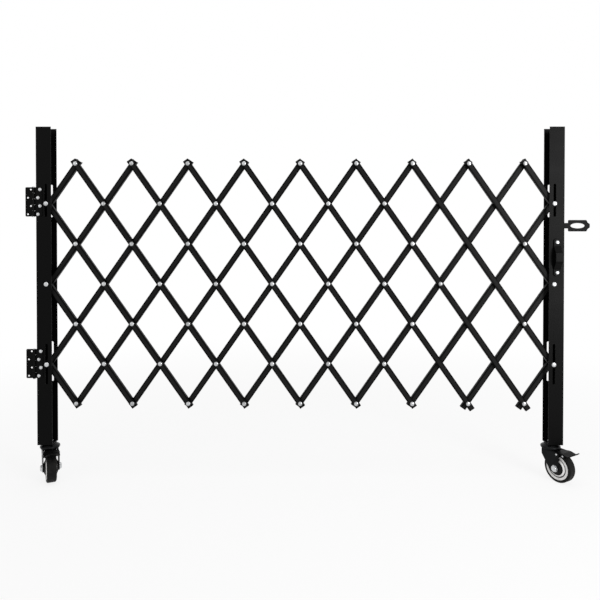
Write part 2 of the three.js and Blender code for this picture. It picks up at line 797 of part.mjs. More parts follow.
function axle(name) {
  const out = forkWidth / 2 + seatGap;
  return piece(name, joined(
    hexagon(axleNut, -out - axleNutHeight, -out),
    rodY(axleShank / 2, -out - axleNutHeight / 2, out + axleNutHeight / 2, boltSides),
    hexagon(axleNut, out, out + axleNutHeight),
  ), zinc);
}

// The pedal is a bent tread over the wheel with two ears, whose studs turn in the fork's legs.
function brakePedal(name) {
  const pivotZ = crownUnderside - pedalPivotBelowCrown;
  const rootX = raceCup / 2 + pedalBehindRace;
  const rootZ = crownUnderside + pedalPlate / 2;
  const flatEnd = rootX + pedalFlat;
  const tread = prism(bentStrip([
    [rootX, rootZ], [flatEnd, rootZ, pedalBend], [pedalDipReach, rootZ - pedalDip, pedalToeBend],
    [pedalReach, rootZ + pedalToeRise],
  ], pedalPlate), pedalWidth).rotateX(Math.PI / 2).translate(0, pedalWidth / 2, 0);
  const root = pedalRootWidth / 2;
  const wide = pedalWidth / 2;
  const toe = pedalToeWidth / 2;
  const halfPlan = [
    [rootX - cutOverrun, root], [pedalWideFrom - pedalCorner, root, pedalCorner], [pedalWideFrom, wide, pedalCorner],
    [pedalDipReach, wide, pedalBend], [pedalReach, toe, pedalCorner],
  ];
  const otherHalf = halfPlan.map(([x, y, radius]) => [x, -y, radius]).reverse();
  const plan = prism(rounded([...otherHalf, ...halfPlan], 3), crownUnderside + pedalReach);
  const ear = rounded([
    [rootX, rootZ],
    [pedalPivotAhead - pedalEarBack, pivotZ, pedalPlate],
    [pedalPivotAhead - pedalCorner, pivotZ - pedalEarBelowPivot, pedalCorner],
    [flatEnd + pedalCorner, pivotZ - pedalCorner, pedalPlate],
    [flatEnd, rootZ],
  ]);
  const ears = [-root, root - pedalEar].map((front) => frontPlate(ear, front, pedalEar));
  const studs = [-1, 1].map((way) => rodY(
    pedalStud / 2,
    Math.min(way * (root - pedalEar / 2), way * forkWidth / 2),
    Math.max(way * (root - pedalEar / 2), way * forkWidth / 2),
    headSides,
  ).translate(pedalPivotAhead, 0, pivotZ));
  const body = solid(tread).intersect(solid(plan));
  return piece(name, [...ears, ...studs].reduce((sum, part) => sum.add(solid(part)), body), blackCoat);
}

function caster(sideName, turn) {
  const turning = new THREE.Group();
  turning.rotation.z = turn * degree;
  const wheelParts = [tyre(`${sideName}_tyre`), wheelHub(`${sideName}_wheel_hub`), axle(`${sideName}_axle`)];
  for (const part of wheelParts) part.position.set(casterTrail, 0, wheelRadius);
  turning.add(fork(`${sideName}_fork`), brakePedal(`${sideName}_brake_pedal`), ...wheelParts);
  const group = new THREE.Group();
  group.add(raceCupPiece(`${sideName}_race_cup`), kingpinPiece(`${sideName}_kingpin`), turning);
  return group;
}

// Assembly

function leftSide() {
  const group = new THREE.Group();
  group.add(post('left_post', -1, leafRivetHoles()), footOf('left_foot_plate', -1), ...postPins('left'));
  group.add(hinge('upper', upperHingeUpPost), hinge('lower', lowerHingeUpPost));
  group.position.set(-pinX, 0, postFoot);
  return group;
}

function rightSide() {
  const group = new THREE.Group();
  const boltHoles = [-1, 1].map((up) => frontHole(
    handleBoltShank / 2 + handleBoltPlay,
    handleX,
    handleUpPost + up * handleBolts / 2,
  ));
  group.add(post('right_post', 1, [...boltHoles, tongueSlot()]), footOf('right_foot_plate', 1), ...postPins('right'));
  const handle = new THREE.Group();
  handle.add(bowHandle(), handleBolt('lower_handle_bolt', -1), handleBolt('upper_handle_bolt', 1));
  handle.position.set(handleX, postFront, handleUpPost);
  const tongue = padlockTongue();
  tongue.position.set(pinFromOuterEdge, 0, tongueUpPost);
  group.add(handle, tongue);
  group.position.set(pinX, 0, postFoot);
  return group;
}

const assembly = new THREE.Group();
const leftCaster = caster('left_caster', leftCasterTurn);
const rightCaster = caster('right_caster', rightCasterTurn);
leftCaster.position.x = -pinX;
rightCaster.position.x = pinX;
assembly.add(leftSide(), lattice(), rightSide(), leftCaster, rightCaster);

const bounds = new THREE.Box3().setFromObject(assembly, true);
const middle = bounds.getCenter(new THREE.Vector3());
assembly.position.set(-middle.x, -middle.y, -bounds.min.z);

const gate = new THREE.Group();
gate.add(assembly);

export default gate;
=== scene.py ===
# %% [markdown]
# The real object is a folding scissor gate. Two steel channels stand on swivel casters, and a
# lattice of riveted bars lies between them. The CAD model settles its sizes and joints, so this
# script starts from it and only gives it its looks. Modelling the gate again from nothing would
# let the looks and the joints drift apart.

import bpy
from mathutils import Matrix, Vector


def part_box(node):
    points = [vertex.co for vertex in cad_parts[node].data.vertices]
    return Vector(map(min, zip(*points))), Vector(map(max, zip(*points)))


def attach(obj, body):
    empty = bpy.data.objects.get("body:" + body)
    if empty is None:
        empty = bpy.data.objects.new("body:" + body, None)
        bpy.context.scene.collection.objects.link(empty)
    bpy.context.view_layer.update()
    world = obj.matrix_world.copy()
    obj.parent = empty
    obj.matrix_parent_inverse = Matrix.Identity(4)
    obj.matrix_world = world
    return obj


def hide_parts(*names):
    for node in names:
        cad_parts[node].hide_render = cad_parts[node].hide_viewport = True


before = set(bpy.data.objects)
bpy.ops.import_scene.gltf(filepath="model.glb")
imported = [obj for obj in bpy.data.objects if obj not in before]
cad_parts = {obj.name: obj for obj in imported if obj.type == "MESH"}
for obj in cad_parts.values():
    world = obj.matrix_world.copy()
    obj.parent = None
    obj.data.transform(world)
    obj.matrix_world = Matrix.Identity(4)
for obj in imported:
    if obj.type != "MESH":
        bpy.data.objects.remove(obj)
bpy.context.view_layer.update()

# %% Tools
import math

import bmesh
import bpy
from mathutils import Matrix, Vector

MM = 0.001  # the sizes below are millimetres, and Blender works in metres


def middle_of(node):
    low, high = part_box(node)
    return (low + high) / 2


def placed(name, data):
    """A new object of the scene, at the origin."""
    made = bpy.data.objects.new(name, data)
    bpy.context.scene.collection.objects.link(made)
    return made


def to_mesh(work):
    """Turns the working form of a shape into a plain mesh."""
    mesh = bpy.data.meshes.new("shape")
    work.to_mesh(mesh)
    work.free()
    return mesh


def evaluated(item):
    """The mesh that an object's modifiers make of it."""
    return bpy.data.meshes.new_from_object(item.evaluated_get(bpy.context.evaluated_depsgraph_get()))


left_pivot = middle_of("left_middle_pivot_pin")
right_pivot = middle_of("right_middle_pivot_pin")
pin_x = (right_pivot.x - left_pivot.x) / 2 / MM
pivot_z = left_pivot.z / MM
gate_centre = Vector(((left_pivot.x + right_pivot.x) / 2, left_pivot.y, 0))
GATE = Matrix.Translation(gate_centre) @ Matrix.Scale(MM, 4)
print("between the pins:", round(2 * pin_x, 1), "mm; middle pivots at", round(pivot_z, 1), "mm")

# %% [markdown]
# The camera comes first, because it decides what is worth modelling. The gate was seen from the
# front at eye level, with the lens raised so that the posts stay upright in the picture. A real
# camera does that with a shift of the lens. Turning the camera down instead would make the posts
# lean together.

# %% Camera
picture_width = 600  # pixels
focal_length = 598.7  # pixels
camera_across = 1.4
camera_back = 2065.8
camera_height = 855.4
camera_yaw = 0.055  # degrees to the left
camera_pitch = 0.76  # degrees down
lens_shift = -0.1017  # of the picture's width

camera = placed("camera", bpy.data.cameras.new("camera"))
camera.data.sensor_width = 36
camera.data.lens = focal_length / picture_width * camera.data.sensor_width
camera.data.shift_y = lens_shift
camera.data.clip_end = 50
camera.location = GATE @ Vector((camera_across, -camera_back, camera_height))
camera.rotation_euler = (math.radians(90 - camera_pitch), 0, math.radians(camera_yaw))
bpy.context.scene.camera = camera
bpy.context.scene.view_settings.view_transform = "Standard"
print("lens:", round(camera.data.lens, 2), "mm")

# %% [markdown]
# A material is a sum of layers, and its nodes are easier to follow as a formula than as a drawing.
# This small class wraps the output of a node, so that plus, minus and times add the Math nodes.
# The same class serves the Geometry Nodes further down.

# %% Formulas for nodes
class Wire:
    def __init__(self, tree, socket=None):
        self.tree, self.socket = tree, socket

    def node(self, kind, settings=None, sockets=None, output=0):
        made = self.tree.nodes.new(kind)
        for key, value in (settings or {}).items():
            setattr(made, key, value)
        for key, value in (sockets or {}).items():
            if isinstance(value, Wire):
                self.tree.links.new(value.socket, made.inputs[key])
            else:
                made.inputs[key].default_value = value
        return Wire(self.tree, made.outputs[output] if len(made.outputs) else None)

    def math(self, operation, first, second=0.0):
        return self.node("ShaderNodeMath", {"operation": operation}, {0: first, 1: second})

    def __add__(self, other):
        return self.math("ADD", self, other)

    def __sub__(self, other):
        return self.math("SUBTRACT", self, other)

    def __mul__(self, other):
        return self.math("MULTIPLY", self, other)

    def __truediv__(self, other):
        return self.math("DIVIDE", self, other)

    def __pow__(self, other):
        return self.math("POWER", self, other)

    def __rsub__(self, other):
        return self.math("SUBTRACT", other, self)

    __radd__ = __add__
    __rmul__ = __mul__

    def over(self, level, width=0.02):
        """0 where the value lies below level, 1 above it, with a soft step between."""
        return self.node("ShaderNodeMapRange", {"interpolation_type": "SMOOTHSTEP"}, {
            "Value": self, "From Min": level - width, "From Max": level + width})

    def blend(self, first, second):
        """Goes from the first colour to the second as this value goes from 0 to 1."""
        return self.node("ShaderNodeMix", {"data_type": "RGBA"}, {0: self, 6: first, 7: second}, 2)


print("formulas ready")

# %% [markdown]
# Each finish is one material. A noise texture on Object coordinates sticks to the piece when it
# moves, and its scale is counted per metre, so 500 gives grains of about two millimetres. One
# class holds what all finishes share: the noise, the bump and the way into the shader.

# %% What all finishes share
def grey(level, warmth=0.0):
    """A linear grey, a little red where warmth is above 0 and a little blue where it is below."""
    return (level * (1 + warmth), level, level * (1 - warmth), 1)


class Finish(Wire):
    def __init__(self, name):
        self.material = bpy.data.materials.new(name)
        self.material.use_nodes = True
        super().__init__(self.material.node_tree)
        self.shader = self.tree.nodes["Principled BSDF"]
        self.place = self.node("ShaderNodeTexCoord", output=3)

    def noise(self, scale, detail, stretch=(1, 1, 1)):
        """A cloudy number. A stretch draws it out along an axis, as brushing and wiping leave it."""
        place = self.node("ShaderNodeMapping", {}, {"Vector": self.place, "Scale": stretch})
        return self.node("ShaderNodeTexNoise", {}, {"Vector": place, "Scale": scale, "Detail": detail})

    def mark(self, name):
        """A number that the piece's own mesh carries."""
        return self.node("ShaderNodeAttribute", {"attribute_name": name}, output=2)

    def feed(self, **levels):
        """Sets the shader's sockets, by their names in small letters, to values or wires."""
        for key, value in levels.items():
            socket = self.shader.inputs[key.replace("_", " ").title().replace("Ior", "IOR")]
            if isinstance(value, Wire):
                self.tree.links.new(value.socket, socket)
            else:
                socket.default_value = value

    def bump(self, height, depth, strength):
        """Raises the surface by a height that counts depth metres at 1."""
        self.feed(normal=self.node("ShaderNodeBump", {}, {
            "Height": height, "Strength": strength, "Distance": depth}))


print("finish helper ready")

# %% [markdown]
# The posts and bars are powder coated. The powder melts to a skin with a faint orange peel, a little duller
# where hands and cloths have rubbed it, and dust settles on it as pale specks. The orange peel is a bump and
# not geometry, because it is far finer than a pixel. The bars slide past each other. Across a bar's face the
# coat is painted dark grey in the middle and black at the bends. This is painted light and shade, as the
# rounded shoulders of a channel turn away from the light.
# An attribute named across, from -1 to 1 over a bar's face, tells the coat where it is.

# %% Powder coat
def powder_coat(name, level, roughness, specular, bend_shade_level=None):
    coat = Finish(name)
    cloud = coat.noise(7, 3)
    rubbed = coat.noise(1, 3, stretch=(3, 3, 26))
    peel = coat.noise(420, 2)
    specks = coat.noise(1500, 2).over(0.73, 0.03) * 0.6
    tone = cloud.blend(grey(level * 0.82), grey(level * 1.2, 0.01))
    # Painted shade: the bends of a bar's face go black, and its middle stays dark grey.
    if bend_shade_level is not None:
        from_middle = coat.math("ABSOLUTE", coat.mark("across"))
        tone = from_middle.over(0.55, 0.17).blend(tone, grey(bend_shade_level))
    coat.feed(
        base_color=specks.blend(tone, grey(level * 1.5 + 0.01)),
        roughness=(cloud - 0.5) * 0.16 + (rubbed - 0.5) * 0.1 + specks * 0.2 + roughness,
        metallic=0.0, specular_ior_level=specular,
    )
    coat.bump(peel + cloud * 0.4, 0.00006, 0.5)
    return coat.material


post_coat = powder_coat("black_powder_coat", 0.0018, 0.36, 0.055)
bar_coat = powder_coat("bar_powder_coat", 0.0105, 0.36, 0.045, bend_shade_level=0.0006)
print("powder coats:", post_coat.name, bar_coat.name)

# %% [markdown]
# Rivets, pins, bolts and nuts are zinc plated, and the caster forks have a dark zinc finish. Zinc is a bright
# metal with a faintly cloudy lustre. The plating is metallic all over, and only its roughness and tint
# change. A domed head is painted darkest at its rim. This is painted shade, standing in for the dark post
# that the edge of a real dome turns towards and mirrors. So the domes carry an attribute named rim that runs
# from 0 at the middle to 1 at the edge.

# %% Zinc and dark steel
def plated(name, colour, dark, roughness, cloudiness):
    plating = Finish(name)
    cloud = plating.noise(90, 3)
    fine = plating.noise(700, 2)
    stain = plating.noise(28, 4).over(0.62, 0.12)
    # The stain and cloud noise are the plating's own blotches. The rim mark adds painted shade: a dome goes
    # dark towards its edge, as if it mirrored the dark post.
    stain_and_painted_rim_shade = stain * 0.4 + cloud * 0.25 + plating.mark("rim") ** 2.6
    clamped_stain_and_rim_shade = plating.node("ShaderNodeClamp", {}, {"Value": stain_and_painted_rim_shade})
    plating.feed(
        base_color=clamped_stain_and_rim_shade.blend(colour, dark),
        roughness=(cloud - 0.5) * cloudiness + (fine - 0.5) * 0.08 + stain * 0.1 + roughness,
        metallic=1.0,
    )
    plating.bump(fine, 0.00003, 0.35)
    return plating.material


zinc = plated("zinc_plate", (0.64, 0.65, 0.66, 1), (0.07, 0.07, 0.068, 1), 0.22, 0.18)
dark_zinc = plated("dark_zinc_plate", (0.013, 0.0135, 0.014, 1), (0.005, 0.005, 0.0048, 1),
                   0.34, 0.22)
print("platings:", zinc.name, dark_zinc.name)

# %% [markdown]
# The tyres are black rubber, matt and slightly dusty, and the wheels under them are white nylon,
# which is a waxy plastic that picks up grey dirt. Both are dull, so most of their look comes from
# the change of colour.

# %% Rubber and nylon
rubber_finish = Finish("tyre_rubber")
rubber_cloud = rubber_finish.noise(40, 4)
rubber_grain = rubber_finish.noise(900, 3)
dust = rubber_finish.noise(130, 4).over(0.6, 0.14)
rubber_finish.feed(
    base_color=(dust * 0.25 + rubber_cloud * 0.12).blend(grey(0.003), grey(0.035, 0.04)),
    roughness=dust * 0.2 + rubber_grain * 0.12 + 0.5, specular_ior_level=0.1,
)
rubber_finish.bump(rubber_grain, 0.0001, 0.5)
rubber = rubber_finish.material

nylon_finish = Finish("wheel_nylon")
nylon_cloud = nylon_finish.noise(30, 4)
nylon_dirt = nylon_finish.noise(75, 5).over(0.64, 0.12)
nylon_finish.feed(
    base_color=(nylon_dirt * 0.4 + nylon_cloud * 0.15).blend(grey(0.8, 0.012), grey(0.42, 0.05)),
    roughness=nylon_cloud * 0.18 + nylon_dirt * 0.15 + 0.34,
)
nylon_finish.bump(nylon_finish.noise(350, 3), 0.00006, 0.4)
nylon = nylon_finish.material
print("plastics:", rubber.name, nylon.name)

# %% [markdown]
# The stage is a round pale floor that fades into a white room. For camera rays both are plain
# white, so the picture has the white ground of a catalogue. The floor still takes a share of real
# light, and that share carries the shadow of the gate.

# %% Room and floor
def is_seen(wire):
    """1 for rays from the camera and for those mirrored to it, 0 for the rest."""
    rays = wire.node("ShaderNodeLightPath").socket.node.outputs
    return wire.math("MAXIMUM", *(Wire(wire.tree, rays[name]) for name in ("Is Camera Ray", "Is Glossy Ray")))


room = bpy.data.worlds.new("white_room")
room.use_nodes = True
bpy.context.scene.world = room
room_wire = Wire(room.node_tree)
room.node_tree.nodes.clear()
lit_by = room_wire.node("ShaderNodeBackground", {}, {"Color": grey(1), "Strength": 0.55})
seen_as = room_wire.node("ShaderNodeBackground", {}, {"Color": grey(1), "Strength": 1.0})
room_mix = room_wire.node("ShaderNodeMixShader", {}, {0: is_seen(room_wire), 1: lit_by, 2: seen_as})
room_wire.node("ShaderNodeOutputWorld", {}, {"Surface": room_mix})

floor_radius = 4.0  # metres
whitens_at, whitens_within = 1.9, 1.1  # metres from the middle
least_white = 0.84
floor_work = bmesh.new()
bmesh.ops.create_circle(floor_work, cap_ends=True, segments=96, radius=floor_radius)
floor = placed("floor", to_mesh(floor_work))

floor_finish = Finish("pale_floor")
floor_finish.feed(base_color=grey(0.86), roughness=0.9)
from_middle = floor_finish.node("ShaderNodeVectorMath", {"operation": "LENGTH"}, {0: floor_finish.place}, 1)
whiteness = from_middle.over(whitens_at, whitens_within) * (1 - least_white) + least_white
white_light = floor_finish.node("ShaderNodeEmission", {}, {"Color": grey(1), "Strength": 1.0})
real_light = Wire(floor_finish.tree, floor_finish.shader.outputs[0])
floor_mix = floor_finish.node("ShaderNodeMixShader", {}, {
    0: whiteness * is_seen(floor_finish), 1: real_light, 2: white_light})
floor_finish.tree.links.new(floor_mix.socket, floor_finish.tree.nodes["Material Output"].inputs["Surface"])
floor.data.materials.append(floor_finish.material)
print("floor radius:", floor_radius, "m")

# %% [markdown]
# Three large soft lamps stand round the gate as in a studio. The one on the right is the
# strongest, so that the right post is lighter than the left one. Large lamps give the coat broad
# soft highlights. Small ones would draw hard streaks down the posts.

# %% Lamps
def lamp(name, place, aim, size, power):
    made = placed(name, bpy.data.lights.new(name, "AREA"))
    made.data.shape = "RECTANGLE"
    made.data.size, made.data.size_y = size
    made.data.energy = power
    made.location = place
    made.rotation_euler = (Vector(place) - Vector(aim)).to_track_quat("Z", "Y").to_euler()
    print(name, power, "W")


gate_middle = (0, 0, 0.65)
lamp("key_lamp", (1.8, -2.1, 1.05), gate_middle, (1.0, 1.8), 40)
lamp("fill_lamp", (-3.0, -2.6, 1.8), gate_middle, (2.2, 2.2), 8)
lamp("top_lamp", (0.3, -0.5, 3.4), gate_middle, (2.6, 1.6), 26)

# %% [markdown]
# Most pieces of the gate are cut, bent or turned, and the helpers below do just that. An outline
# with rounded corners is the start of nearly all of them.

# %% Outlines with rounded corners
def rounded(corners, steps=5, closed=True):
    """Points of an outline. A corner is (x, y) or (x, y, radius)."""
    points = []
    for index, (x, y, *rest) in enumerate(corners):
        corner = Vector((x, y))
        radius = rest[0] if rest else 0
        if radius == 0 or not closed and index in (0, len(corners) - 1):
            points.append(corner)
            continue
        back = (Vector(corners[index - 1][:2]) - corner).normalized()
        ahead = (Vector(corners[(index + 1) % len(corners)][:2]) - corner).normalized()
        half = back.angle(ahead) / 2
        centre = corner + (back + ahead).normalized() * radius / math.sin(half)
        start = corner + back * radius / math.tan(half) - centre
        sweep = math.copysign(math.pi - 2 * half, ahead.cross(back))
        points += [centre + Matrix.Rotation(sweep * step / steps, 2) @ start for step in range(steps + 1)]
    return points


def mirrored(half, steps=5, closed=True):
    """An outline whose second half is the first one with its second value turned round."""
    return rounded(half + [(x, -y, *rest) for x, y, *rest in reversed(half)], steps, closed)


def circle(x, y, radius, steps=28):
    return [Vector((x + radius * math.cos(angle), y + radius * math.sin(angle)))
            for angle in (2 * math.pi * step / steps for step in range(steps))]


def oblong(low_x, low_y, high_x, high_y, radius=0, steps=5):
    corners = ((low_x, low_y), (high_x, low_y), (high_x, high_y), (low_x, high_y))
    return rounded([(x, y, radius) for x, y in corners], steps)


print("points of a rounded square:", len(oblong(0, 0, 9, 9, 1)))

# %% [markdown]
# Solids come from three tools. A prism lifts an outline, a plate is a sheet with holes and softly
# broken edges, and a turned piece spins a profile round an axis. With flats, the turned piece is
# also cut by a hexagon, which gives nuts their curved chamfers.

# %% Prisms, plates and turned pieces
def mesh_of(work):
    bmesh.ops.remove_doubles(work, verts=work.verts, dist=1e-4)
    bmesh.ops.recalc_face_normals(work, faces=work.faces)
    return to_mesh(work)


def prism(outline, height):
    """Its outline lies in XY and it rises from 0 to height."""
    work = bmesh.new()
    face = work.faces.new([work.verts.new((x, y, 0)) for x, y in outline])
    risen = bmesh.ops.extrude_face_region(work, geom=[face])["geom"]
    top = [item for item in risen if isinstance(item, bmesh.types.BMVert)]
    bmesh.ops.translate(work, verts=top, vec=(0, 0, height))
    return mesh_of(work)


def plate(outline, holes, thickness, edge=0.4):
    """A sheet with holes in XY, from 0 to its thickness, with rounded edges."""
    curve = bpy.data.curves.new("blank", "CURVE")
    curve.dimensions, curve.fill_mode = "2D", "BOTH"
    curve.extrude = thickness / 2 - edge
    curve.bevel_depth, curve.bevel_resolution, curve.offset = edge, 2, -edge
    for loop in (outline, *holes):
        spline = curve.splines.new("POLY")
        spline.points.add(len(loop) - 1)
        for point, (x, y) in zip(spline.points, loop):
            point.co = (x, y, 0, 1)
        spline.use_cyclic_u = True
    blank = bpy.data.objects.new("blank", curve)
    work = bmesh.new()
    work.from_mesh(bpy.data.meshes.new_from_object(blank))
    bpy.data.objects.remove(blank)
    bmesh.ops.translate(work, verts=work.verts, vec=(0, 0, thickness / 2))
    return mesh_of(work)


def turned(profile, sides=48, flats=0, closed=False):
    """Turns (radius, height) points about the Z axis. flats is the width of a hexagon that cuts it."""
    work = bmesh.new()
    rings = []
    for radius, height in profile:
        ring = []
        for side in range(sides if radius > 0 else 1):
            angle = 2 * math.pi * side / sides
            off_flat = (angle + math.pi / 6) % (math.pi / 3) - math.pi / 6
            reach = min(radius, flats / 2 / math.cos(off_flat)) if flats else radius
            ring.append(work.verts.new((reach * math.cos(angle), reach * math.sin(angle), height)))
        rings.append(ring)
    for low, high in zip(rings, rings[1:] + rings[:1] if closed else rings[1:]):
        for side in range(sides):
            corners = [low[side % len(low)], low[(side + 1) % sides % len(low)],
                       high[(side + 1) % sides % len(high)], high[side % len(high)]]
            corners = list(dict.fromkeys(corners))
            if len(corners) > 2:
                work.faces.new(corners)
    return mesh_of(work)


def ring_mesh(corners, steps, sides):
    """A turned ring whose section has rounded corners."""
    return turned(rounded(corners, steps), sides, closed=True)


print("faces of a nut:", len(turned([(0, 0), (9, 0), (10, 1), (10, 6), (9, 7), (0, 7)], 48, 17).polygons))

# %% [markdown]
# Sheet metal is cut flat and then bent, and doing the same here keeps the thickness and the holes
# true. The bend tool slices the flat blank at every station of the bent line, then moves each
# station to its place.

# %% Bending
def stations_of(line, steps=6):
    """The points of a bent line, the length run at each, and its offset direction there."""
    points = rounded(line, steps, closed=False)
    runs = [0.0]
    for last, here in zip(points, points[1:]):
        runs.append(runs[-1] + (here - last).length)
    normals = []
    for index in range(len(points)):
        starts = max(index, 1) - 1, min(index, len(points) - 2)
        ways = [(points[start + 1] - points[start]).normalized() for start in starts]
        sides = [Vector((-way.y, way.x)) for way in ways]
        between = (sides[0] + sides[1]).normalized()
        normals.append(between / between.dot(sides[0]))
    return points, runs, normals


def run_at(line, x):
    """The length run along a bent line where its first value reaches x."""
    points, runs, _ = stations_of(line)
    for index in range(1, len(points)):
        if points[index].x >= x - 1e-6:
            share = (x - points[index - 1].x) / (points[index].x - points[index - 1].x)
            return runs[index - 1] + share * (runs[index] - runs[index - 1])
    return runs[-1]


def bend(mesh, line, thickness):
    """Bends a flat plate, whose length runs along X, to a line in XZ that its middle follows."""
    points, runs, normals = stations_of(line)
    work = bmesh.new()
    work.from_mesh(mesh)
    for run in runs[1:-1]:
        everything = work.verts[:] + work.edges[:] + work.faces[:]
        bmesh.ops.bisect_plane(work, geom=everything, dist=1e-5, plane_co=(run, 0, 0), plane_no=(1, 0, 0))
    for vertex in work.verts:
        x, out = vertex.co.x, vertex.co.z - thickness / 2
        index = max(sum(run <= x for run in runs[:-1]) - 1, 0)
        share = (x - runs[index]) / (runs[index + 1] - runs[index])
        ends = [points[i] + normals[i] * out for i in (index, index + 1)]
        place = ends[0].lerp(ends[1], share)
        vertex.co = (place.x, vertex.co.y, place.y)
    return mesh_of(work)


print("run round a bend:", round(stations_of([(0, 0), (9, 0, 4), (9, 9)])[1][-1], 2), "mm")

# %% [markdown]
# Joining, cutting and placing need one helper each. A boolean cuts, and a bevel then breaks the edges that it
# leaves. Every finished piece goes through the last helper, which gives it its name and finish, puts it on
# the body that carries it, and hides the CAD solids that it stands for.

# %% Carving and placing
def shift(x, y, z):
    return Matrix.Translation((x, y, z))


def turn(degrees, axis):
    return Matrix.Rotation(math.radians(degrees), 4, axis)


def moved(mesh, matrix):
    mesh.transform(matrix)
    if matrix.determinant() < 0:
        mesh.flip_normals()
    return mesh


def joined(*meshes):
    work = bmesh.new()
    for mesh in meshes:
        work.from_mesh(mesh)
    return to_mesh(work)


def carved(mesh, cutter, edge):
    """Cuts one mesh out of another and breaks the sharp edges."""
    body, tool = placed("carving", mesh), placed("carving", cutter)
    cut = body.modifiers.new("cut", "BOOLEAN")
    cut.object, cut.operation, cut.solver = tool, "DIFFERENCE", "EXACT"
    soft = body.modifiers.new("edges", "BEVEL")
    soft.width, soft.segments = edge, 2
    soft.limit_method, soft.angle_limit = "ANGLE", math.radians(40)
    made = evaluated(body)
    for item in (body, tool):
        bpy.data.objects.remove(item)
    return made


FACING = turn(90, "X")  # turns a plate in XY to face the front
finish_of = {"black_coat": post_coat, "bar_coat": bar_coat, "zinc": zinc,
             "dark_steel": dark_zinc, "tyre_rubber": rubber, "nylon": nylon}  # each slot's finish
pieces = []


def piece(name, mesh, matrix, body, slot, *nodes, smooth=24):
    """A finished piece at the origin, which rides on its body and stands for its solids."""
    moved(mesh, matrix)
    mesh.name = name
    mesh.materials.clear()
    mesh.materials.append(finish_of[slot])
    mesh.shade_smooth()
    mesh.set_sharp_from_angle(angle=math.radians(smooth))
    made = placed(name, mesh)
    flat_faces = made.modifiers.new("flat_faces", "WEIGHTED_NORMAL")
    flat_faces.weight, flat_faces.keep_sharp = 90, True
    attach(made, body)
    if nodes:
        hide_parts(*nodes)
    pieces.append(name)


print("tools ready")

# %% [markdown]
# The bars are all the same channel in different lengths, so one Geometry Nodes tree makes every
# one of them. Its curve is the U of the channel, with rounded corners. The profile that is swept
# along that U is a thin upright rectangle: as thick as the wall and as tall as the bar is long.
# This gives a true open channel with round edges and closed ends, from a few named sizes.

# %% Geometry Nodes: trees and their inputs
def new_tree(name, inputs, takes_geometry=False):
    tree = bpy.data.node_groups.new(name, "GeometryNodeTree")
    tree.interface.new_socket("Geometry", in_out="OUTPUT", socket_type="NodeSocketGeometry")
    if takes_geometry:
        tree.interface.new_socket("Geometry", in_out="INPUT", socket_type="NodeSocketGeometry")
    for label, kind in inputs.items():
        tree.interface.new_socket(label, in_out="INPUT", socket_type=f"NodeSocket{kind}")
    source = tree.nodes.new("NodeGroupInput")
    wires = {socket.name: Wire(tree, socket) for socket in source.outputs if socket.name}
    return tree, Wire(tree), wires


def grown(tree, start, **values):
    """Runs a tree on a mesh and returns the result as a plain mesh."""
    host = placed("host", start)
    modifier = host.modifiers.new("growth", "NODES")
    modifier.node_group = tree
    for item in tree.interface.items_tree:
        key = item.name.replace(" ", "_").lower()
        if item.in_out == "INPUT" and key in values:
            modifier[item.identifier] = values[key]
    mesh = evaluated(host)
    host.modifiers.remove(modifier)
    bpy.data.objects.remove(host)
    return mesh


def vector(**axes):
    return nodes.node("ShaderNodeCombineXYZ", {}, axes)


def place_of_point():
    """The x, y and z of each point."""
    parts = nodes.node("ShaderNodeSeparateXYZ", {}, {"Vector": nodes.node("GeometryNodeInputPosition")})
    return [Wire(nodes.tree, part) for part in parts.socket.node.outputs]


def marked(shape, name, value):
    """Keeps a number on every point, which a finish can read."""
    return nodes.node("GeometryNodeStoreNamedAttribute", {"data_type": "FLOAT", "domain": "POINT"}, {
        "Geometry": shape, "Name": name, "Value": value})


def lead_out(shape):
    """Makes instances real, sets the finish and ends the tree."""
    real = nodes.node("GeometryNodeRealizeInstances", {}, {"Geometry": shape})
    finished = nodes.node("GeometryNodeSetMaterial", {}, {"Geometry": real, "Material": sizes["Finish"]})
    nodes.node("NodeGroupOutput", {}, {"Geometry": finished})


print("tree helpers ready")

# %% Geometry Nodes: channel bar
bar_tree, nodes, sizes = new_tree("channel_bar", {
    "Face": "Float", "Depth": "Float", "Wall": "Float", "Corner": "Float", "Length": "Float",
    "Top": "Float", "Finish": "Material"})
side = (sizes["Face"] - sizes["Wall"]) / 2
web = sizes["Wall"] / 2
u_shape = nodes.node("GeometryNodeCurvePrimitiveQuadrilateral", {"mode": "POINTS"}, {
    "Point 1": vector(X=side * -1, Y=sizes["Depth"]), "Point 2": vector(X=side * -1, Y=web),
    "Point 3": vector(X=side, Y=web), "Point 4": vector(X=side, Y=sizes["Depth"])})
u_shape = nodes.node("GeometryNodeSetSplineCyclic", {}, {"Geometry": u_shape, "Cyclic": False})
u_shape = nodes.node("GeometryNodeFilletCurve", {"mode": "POLY"}, {
    "Curve": u_shape, "Count": 5, "Radius": sizes["Corner"] - web})
wall_section = nodes.node("GeometryNodeCurvePrimitiveQuadrilateral", {"mode": "RECTANGLE"}, {
    "Width": sizes["Wall"], "Height": sizes["Length"]})
wall_section = nodes.node("GeometryNodeFilletCurve", {"mode": "POLY"}, {
    "Curve": wall_section, "Count": 2, "Radius": sizes["Wall"] * 0.3})
swept = nodes.node("GeometryNodeCurveToMesh", {}, {
    "Curve": u_shape, "Profile Curve": wall_section, "Fill Caps": True})
swept = marked(swept, "across", place_of_point()[0] / (sizes["Face"] / 2))
lead_out(nodes.node("GeometryNodeTransform", {}, {
    "Geometry": swept, "Translation": vector(Z=sizes["Top"] - sizes["Length"] / 2)}))

bar_face, bar_depth, bar_wall, bar_corner = 20.0, 14.0, 1.5, 2.5


